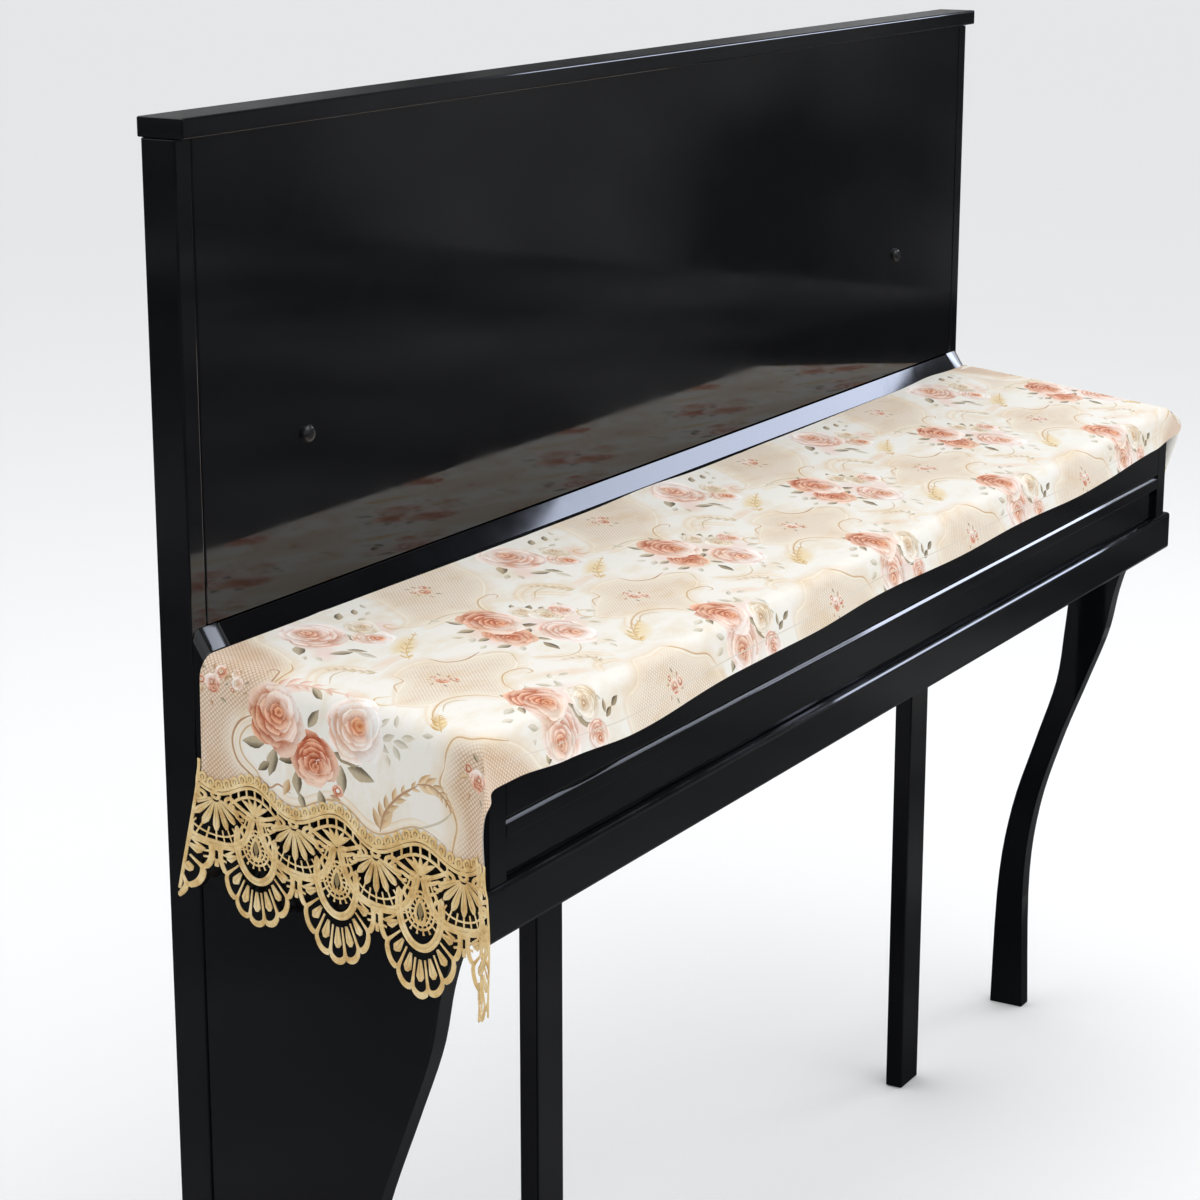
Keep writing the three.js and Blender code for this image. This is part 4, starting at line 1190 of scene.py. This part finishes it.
# A cord's section: share of the half-width, share of the height
CORD_SECTION = [(-1.0, -0.3), (-0.8, 0.5), (0.0, 1.0), (0.8, 0.5), (1.0, -0.3), (0.0, -0.45)]
LACE_OVER, LACE_FLARE, LACE_DEEP = 2.0, 9.0, 117.0
SCALLOP_Y, SCALLOP_ACROSS, SCALLOP_DOWN, LOBE_TURN = 55.0, 38.5, 62.0, 24.5
CUP_Y, EYE_Y = 20.0, 51.0
NET_Y, NET_SAG = 10.0, 0.0185
HALF_REPEAT = REPEAT / 2


def ring_of(x, y, across, down, count, start=0.0, stop=360.0):
    """Points round an ellipse, 0 degrees straight down."""
    turns = np.radians(np.linspace(start, stop, count))
    return np.stack([x + across * np.sin(turns), y + down * np.cos(turns)], 1)


def spoke(x, y, turn, near, far, count):
    reach = np.linspace(near, far, count)
    return np.stack([x + reach * math.sin(math.radians(turn)), y + reach * math.cos(math.radians(turn))], 1)


def scallop_point(share, turn):
    across, down = np.sin(np.radians(turn)), np.cos(np.radians(turn))
    return np.stack([share * SCALLOP_ACROSS * across, SCALLOP_Y + share * SCALLOP_DOWN * down], -1)


def bud(count):
    """Half-width along a teardrop: thin at its foot, full near its tip."""
    share = np.linspace(0, 1, count)
    rounded_tip = np.sqrt(np.clip(1 - ((share - 0.72) / 0.3).clip(0) ** 2, 0.02, 1))
    return np.clip(0.3 + 0.9 * share, 0, 1) * rounded_tip


def leaf_width(count):
    return np.clip(np.sin(np.pi * np.linspace(0.06, 0.97, count)), 0.15, 1)


def lace_repeat():
    """Cords of one repeat, as line, half-width, height and olive tone. x from the crest, y down from it."""
    cords = []

    def cord(line, half, high=0.8, tone=0.0):
        cords.append((np.asarray(line, float), half, high, tone))

    def both(line, half, high=0.8, tone=0.0):
        line = np.asarray(line, float)
        cord(line, half, high, tone)
        cord(line * (-1, 1), half, high, tone)

    # picots over the heading
    for k in range(10):
        x = -HALF_REPEAT + REPEAT * (k + 0.5) / 10
        wave = heading_wave(FIRST_CREST + x)
        cord(ring_of(x, wave - 5.8, 2.9, 3.4, 11), 1.25, 0.7)
        cord([(x, wave - 3.4), (x, wave - 7.0)], 1.0, 0.5)
    # net under the heading
    cord([(x, NET_Y - 0.2 + NET_SAG * x * x) for x in np.linspace(-27, 27, 13)], 1.3, 0.7)
    for x in (-24.5, -16.5, -8.4, 0.0, 8.4, 16.5, 24.5):
        wave = heading_wave(FIRST_CREST + x)
        low = NET_Y + NET_SAG * x * x
        cord([(x, wave + 1), (x, (wave + low) / 2), (x, low + 0.2)], 1.0, 0.6)
    # spray of five leaves on a node
    for tip in ((-13.5, 14.5), (-7, 11.6), (0, 10.6), (7, 11.6), (13.5, 14.5)):
        line = curve_through([(0, 25), (tip[0] * 0.45, 18.5), tip], 4)
        cord(line, 2.3 * leaf_width(len(line)), 1.0)
    cord(ring_of(0, 25, 2.6, 2.6, 9), 1.4, 0.9)
    scroll = [(2, 27), (10, 24), (18, 20.5), (25, 17), (30, 20), (28, 25), (23, 25), (22.5, 21.5)]
    both(curve_through(scroll, 4), 1.7)
    both(curve_through([(4, 29), (11, 28), (17, 26), (20, 29), (16, 32), (12, 31)], 4), 1.5)
    # the deep band that runs from node to node
    band = curve_through([(3, 27), (6.6, 39), (12, 49), (22, 56), (30, 58.4), (HALF_REPEAT, 59)], 4)
    both(band, 2.8, 0.35, 0.25)
    both(band + 1.9 * sides_of(band), 1.35)
    both(band - 1.9 * sides_of(band), 1.35)
    # a fan in the cup between two repeats
    for turn in (-69, -46, -23, 0, 23, 46, 69):
        line = spoke(HALF_REPEAT, CUP_Y, turn, 3.5, 27.5 - 0.05 * abs(turn), 7)
        cord(line, 3.2 * bud(7), 1.1)
        cord(line[1:-1], 0.7, 1.35, 0.5)
    cord(ring_of(HALF_REPEAT, CUP_Y - 2.5, 3.4, 3.0, 10), 1.7, 0.9)
    for turn in range(-84, 85, 12):
        cord(spoke(HALF_REPEAT, CUP_Y, turn, 26.5, 37.5 - 0.02 * abs(turn), 3), 0.75, 0.5)
    cord(ring_of(HALF_REPEAT, CUP_Y, 31.5, 31.8, 19, -84, 84), 0.8, 0.55)
    # the eye: a drop with an olive heart, two rings, spokes and pins
    half_drop = [(0, 41.5), (3.2, 48), (4.6, 53.5), (3.2, 58.4), (0, 60)]
    cord(curve_through(half_drop + [(-x, y) for x, y in half_drop[-2::-1]], 3), 1.3, 0.95)
    cord([(0, 45.5), (0, 49), (0, 53), (0, 57.2)], 2.9 * leaf_width(4), 0.7, 1.0)
    cord(ring_of(0, EYE_Y, 9.4, 10.6, 21), 1.0, 0.75)
    for turn in range(0, 360, 30):
        cord(spoke(0, EYE_Y, turn, 5.6, 9.6, 2), 0.8, 0.5)
    cord(ring_of(0, EYE_Y, 13.0, 14.2, 25), 1.0, 0.7)
    for turn in range(10, 370, 20):
        cord(spoke(0, EYE_Y, turn, 10, 13.4, 2), 0.75, 0.5)
    for turn in (-70, -50, -30, -10, 10, 30, 50, 70):
        cord(spoke(0, EYE_Y, turn, 13.5, 18.2, 3), 0.85 * np.array([0.7, 0.8, 1.3]), 0.5)
    both(curve_through([(12, 45), (14.5, 40), (12.5, 36), (9, 37)], 4), 1.4)
    # the arch round the eye
    arch = ring_of(0, 50, 19.2, 29, 29, -112, 112)
    cord(arch, 2.8, 0.35, 0.25)
    cord(arch + 1.8 * sides_of(arch), 1.35)
    cord(arch - 1.8 * sides_of(arch), 1.35)
    # rounded fingers, the webs between them and the scalloped foot
    for lobe in range(-3, 4):
        turn = lobe * LOBE_TURN
        line = np.array([scallop_point(share, turn) for share in np.linspace(0.53, 0.79, 6)])
        cord(line, 3.9 * bud(6), 1.1)
        cord(line[:-1], 0.8, 1.45, 0.4)
    for half_lobe in range(-7, 8, 2):
        turn = half_lobe * LOBE_TURN / 2
        line = np.array([scallop_point(share, turn) for share in (0.53, 0.62, 0.72, 0.83, 0.9)])
        cord(line, np.array([0.8, 0.9, 1.1, 1.5, 2.3]), 0.7)
    foot, inner = [], []
    for turn in np.linspace(-3.5 * LOBE_TURN, 3.5 * LOBE_TURN, 7 * 8 + 1):
        bump = abs(math.sin(math.pi * (turn / LOBE_TURN + 0.5)))
        foot.append(scallop_point(0.9 + 0.08 * bump ** 0.6, turn))
        inner.append(scallop_point(0.865 + 0.075 * bump ** 0.6, turn))
    cord(foot, 1.5, 0.8)
    cord(inner, 1.4, 0.7)
    cord((np.array(foot) + np.array(inner)) / 2, 1.6, 0.35, 0.2)
    # ties between neighbouring scallops
    cord([(HALF_REPEAT, 59), (HALF_REPEAT, 63)], 2.0)
    cord(ring_of(HALF_REPEAT, 68, 3.6, 5, 9), 1.2)
    cord([(HALF_REPEAT, 73), (HALF_REPEAT, 78)], 1.7)
    for y in (66, 71):
        cord([(HALF_REPEAT - 9, y + 1), (HALF_REPEAT - 3, y)], 1.0, 0.5)
        cord([(HALF_REPEAT + 9, y + 1), (HALF_REPEAT + 3, y)], 1.0, 0.5)
    both([(20, 58), (26, 63), (31, 66)], 1.2, 0.6)
    both([(20.5, 66), (26, 66), (31, 67)], 1.0, 0.5)
    return cords


# Gold rayon thread: the satin stitch lies across each cord and catches the light in fine ribs.
gold_thread, tree, shader = new_material("gold_rayon_lace")
shader.inputs["Roughness"].default_value = 0.55
shader.inputs["Specular IOR Level"].default_value = 0.35
shader.inputs["Sheen Weight"].default_value = 0.25
shader.inputs["Sheen Roughness"].default_value = 0.4
cord_place = add_node(tree, "ShaderNodeUVMap", uv_map="along_cord")
cord_tone = add_node(tree, "ShaderNodeAttribute", attribute_name="olive")
object_place = add_node(tree, "ShaderNodeTexCoord")
THREAD_MM, DYE_MM = 0.9, 14.0
stitch_axis = add_node(tree, "ShaderNodeSeparateXYZ", [(cord_place.outputs["UV"], 0)])
turns = add_node(
    tree, "ShaderNodeMath", [(stitch_axis.outputs[0], 0)],
    operation="MULTIPLY", in_1=2000 * math.pi / THREAD_MM,
)
stitch = add_node(tree, "ShaderNodeMath", [(turns.outputs[0], 0)], operation="SINE")
dye = add_node(
    tree, "ShaderNodeTexNoise", [(object_place.outputs["Object"], "Vector")],
    in_2=1000 / DYE_MM, in_3=4.0, in_4=0.6,
)
gold = add_node(tree, "ShaderNodeValToRGB", [(dye.outputs["Fac"], "Fac")])
gold.color_ramp.elements[0].position = 0.3
gold.color_ramp.elements[0].color = to_linear("D3A862")
gold.color_ramp.elements[1].position = 0.68
gold.color_ramp.elements[1].color = to_linear("FFE8B6")
middle_gold = gold.color_ramp.elements.new(0.48)
middle_gold.color = to_linear("F0CF90")
thread = add_node(
    tree, "ShaderNodeMix", [(cord_tone.outputs["Fac"], "Factor"), (gold.outputs["Color"], 6)],
    data_type="RGBA", in_7=to_linear("96845A"),
)
# Stripes of darker brown across each cord, in step with the stitch: painted shade of the satin stitch's
# ribs.
painted_stitch_shade = add_node(
    tree, "ShaderNodeMath", [(stitch.outputs[0], 0)], operation="MULTIPLY_ADD", in_1=0.06, in_2=0.06,
)
thread_with_painted_shade = add_node(
    tree, "ShaderNodeMix", [(painted_stitch_shade.outputs[0], "Factor"), (thread.outputs[2], 6)],
    data_type="RGBA", in_7=to_linear("8A6B3C"),
)
tree.links.new(thread_with_painted_shade.outputs[2], shader.inputs["Base Color"])
ribs = add_node(tree, "ShaderNodeBump", [(stitch.outputs[0], "Height")], in_0=0.35, in_1=0.00025)
tree.links.new(ribs.outputs["Normal"], shader.inputs["Normal"])


# Cords along the heading lie over and under its wave, and a cord runs down each side.
BORDER_CORD_HALF, HEADING_CORDS, SIDE_CORD = 1.5, (-1.6, 1.8), (-9.0, 104.0)


def border_cords(is_left):
    """The cords of one border, as line, half-width, height and olive tone. Lines are in t and drop."""
    side = 0 if is_left else 1
    front, back = corner_t(front_hem)[side] - LACE_OVER, corner_t(back_edge)[side] + LACE_OVER
    cords = []
    for k in range(-1, 5):
        crest = FIRST_CREST - k * REPEAT
        for line, half, high, tone in lace_repeat():
            t = crest + line[:, 0]
            flare = LACE_FLARE * np.clip(line[:, 1] / LACE_DEEP, 0, 1)
            kept = (t > front - flare) & (t < back + flare)
            halves = np.broadcast_to(half, len(line))
            runs = np.split(np.arange(len(line)), np.flatnonzero(np.diff(kept.astype(int))) + 1)
            for run in runs:
                if len(run) > 1 and kept[run[0]]:
                    place = np.stack([t[run], crest_drop(t[run]) + line[run, 1]], 1)
                    cords.append((place, halves[run], high, tone))
    along = np.arange(front, back, 2.5)
    for offset in HEADING_CORDS:
        line = np.stack([along, crest_drop(along) + heading_wave(along) + offset], 1)
        cords.append((line, np.full(len(line), BORDER_CORD_HALF), 0.9, 0.0))
    for edge, flare in ((front, -LACE_FLARE), (back, LACE_FLARE)):
        down = np.linspace(*SIDE_CORD, 40)
        t = edge + flare * np.clip(down / LACE_DEEP, 0, 1)
        line = np.stack([t, crest_drop(t) + down], 1)
        cords.append((line, np.full(len(line), BORDER_CORD_HALF), 0.8, 0.0))
    return cords


# The heading is sewn on over the cloth's edge, and the lace comes down off it below.
SEWN_LIFT, SEWN_FROM, SEWN_TO = 1.3, -2.0, 8.0


def sew_lace(is_left):
    """Works one border's cords in thread and sews it to its end of the cloth."""
    flat_places, heights, faces, uvs, tones = [], [], [], [], []
    count = len(CORD_SECTION)
    for line, halves, high, tone in border_cords(is_left):
        side = sides_of(line)
        travelled = np.concatenate([[0], np.cumsum(np.linalg.norm(np.diff(line, axis=0), axis=1))]) / 1000
        first = sum(map(len, flat_places))
        ring = [line + side * (halves * share)[:, None] for share, _ in CORD_SECTION]
        flat_places.append(np.stack(ring, 1).reshape(-1, 2))
        heights.append(np.tile([high * rise for _, rise in CORD_SECTION], len(line)))
        for i, (near, far) in enumerate(zip(travelled[:-1], travelled[1:])):
            for j in range(count):
                a, b = first + i * count + j, first + i * count + (j + 1) % count
                faces.append((a, b, b + count, a + count))
                low, up = j / count, (j + 1) / count
                uvs.extend([(near, low), (near, up), (far, up), (far, low)])
                tones.extend([tone] * 4)
        last = first + (len(line) - 1) * count
        for cap in (range(first, first + count), range(last + count - 1, last - 1, -1)):
            faces.append(tuple(cap))
            uvs.extend([(0.0, 0.0)] * count)
            tones.extend([tone] * count)
    flat_places = np.vstack(flat_places)
    t, drop = flat_places.T
    s = hung_s(drop, is_left)
    below_heading = drop - crest_drop(t) - heading_wave(t)
    lift = np.concatenate(heights) + SEWN_LIFT * (1 - smooth(SEWN_FROM, SEWN_TO, below_heading))
    place = drape(s, t) + normals_of(drape, s, t) * lift[:, None] / 1000
    side_name = "left" if is_left else "right"
    lace, mesh = new_sheet("lace_border_" + side_name, place, faces)
    mesh.uv_layers.new(name="along_cord").data.foreach_set("uv", np.array(uvs).ravel())
    mesh.attributes.new("olive", "FLOAT", "CORNER").data.foreach_set("value", np.array(tones, np.float32))
    turned_out = bmesh.new()
    turned_out.from_mesh(mesh)
    bmesh.ops.recalc_face_normals(turned_out, faces=turned_out.faces)
    turned_out.to_mesh(mesh)
    turned_out.free()
    mesh.materials.append(gold_thread)
    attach(lace, "root")
    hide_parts("lace_" + side_name)


for is_left in (True, False):
    sew_lace(is_left)
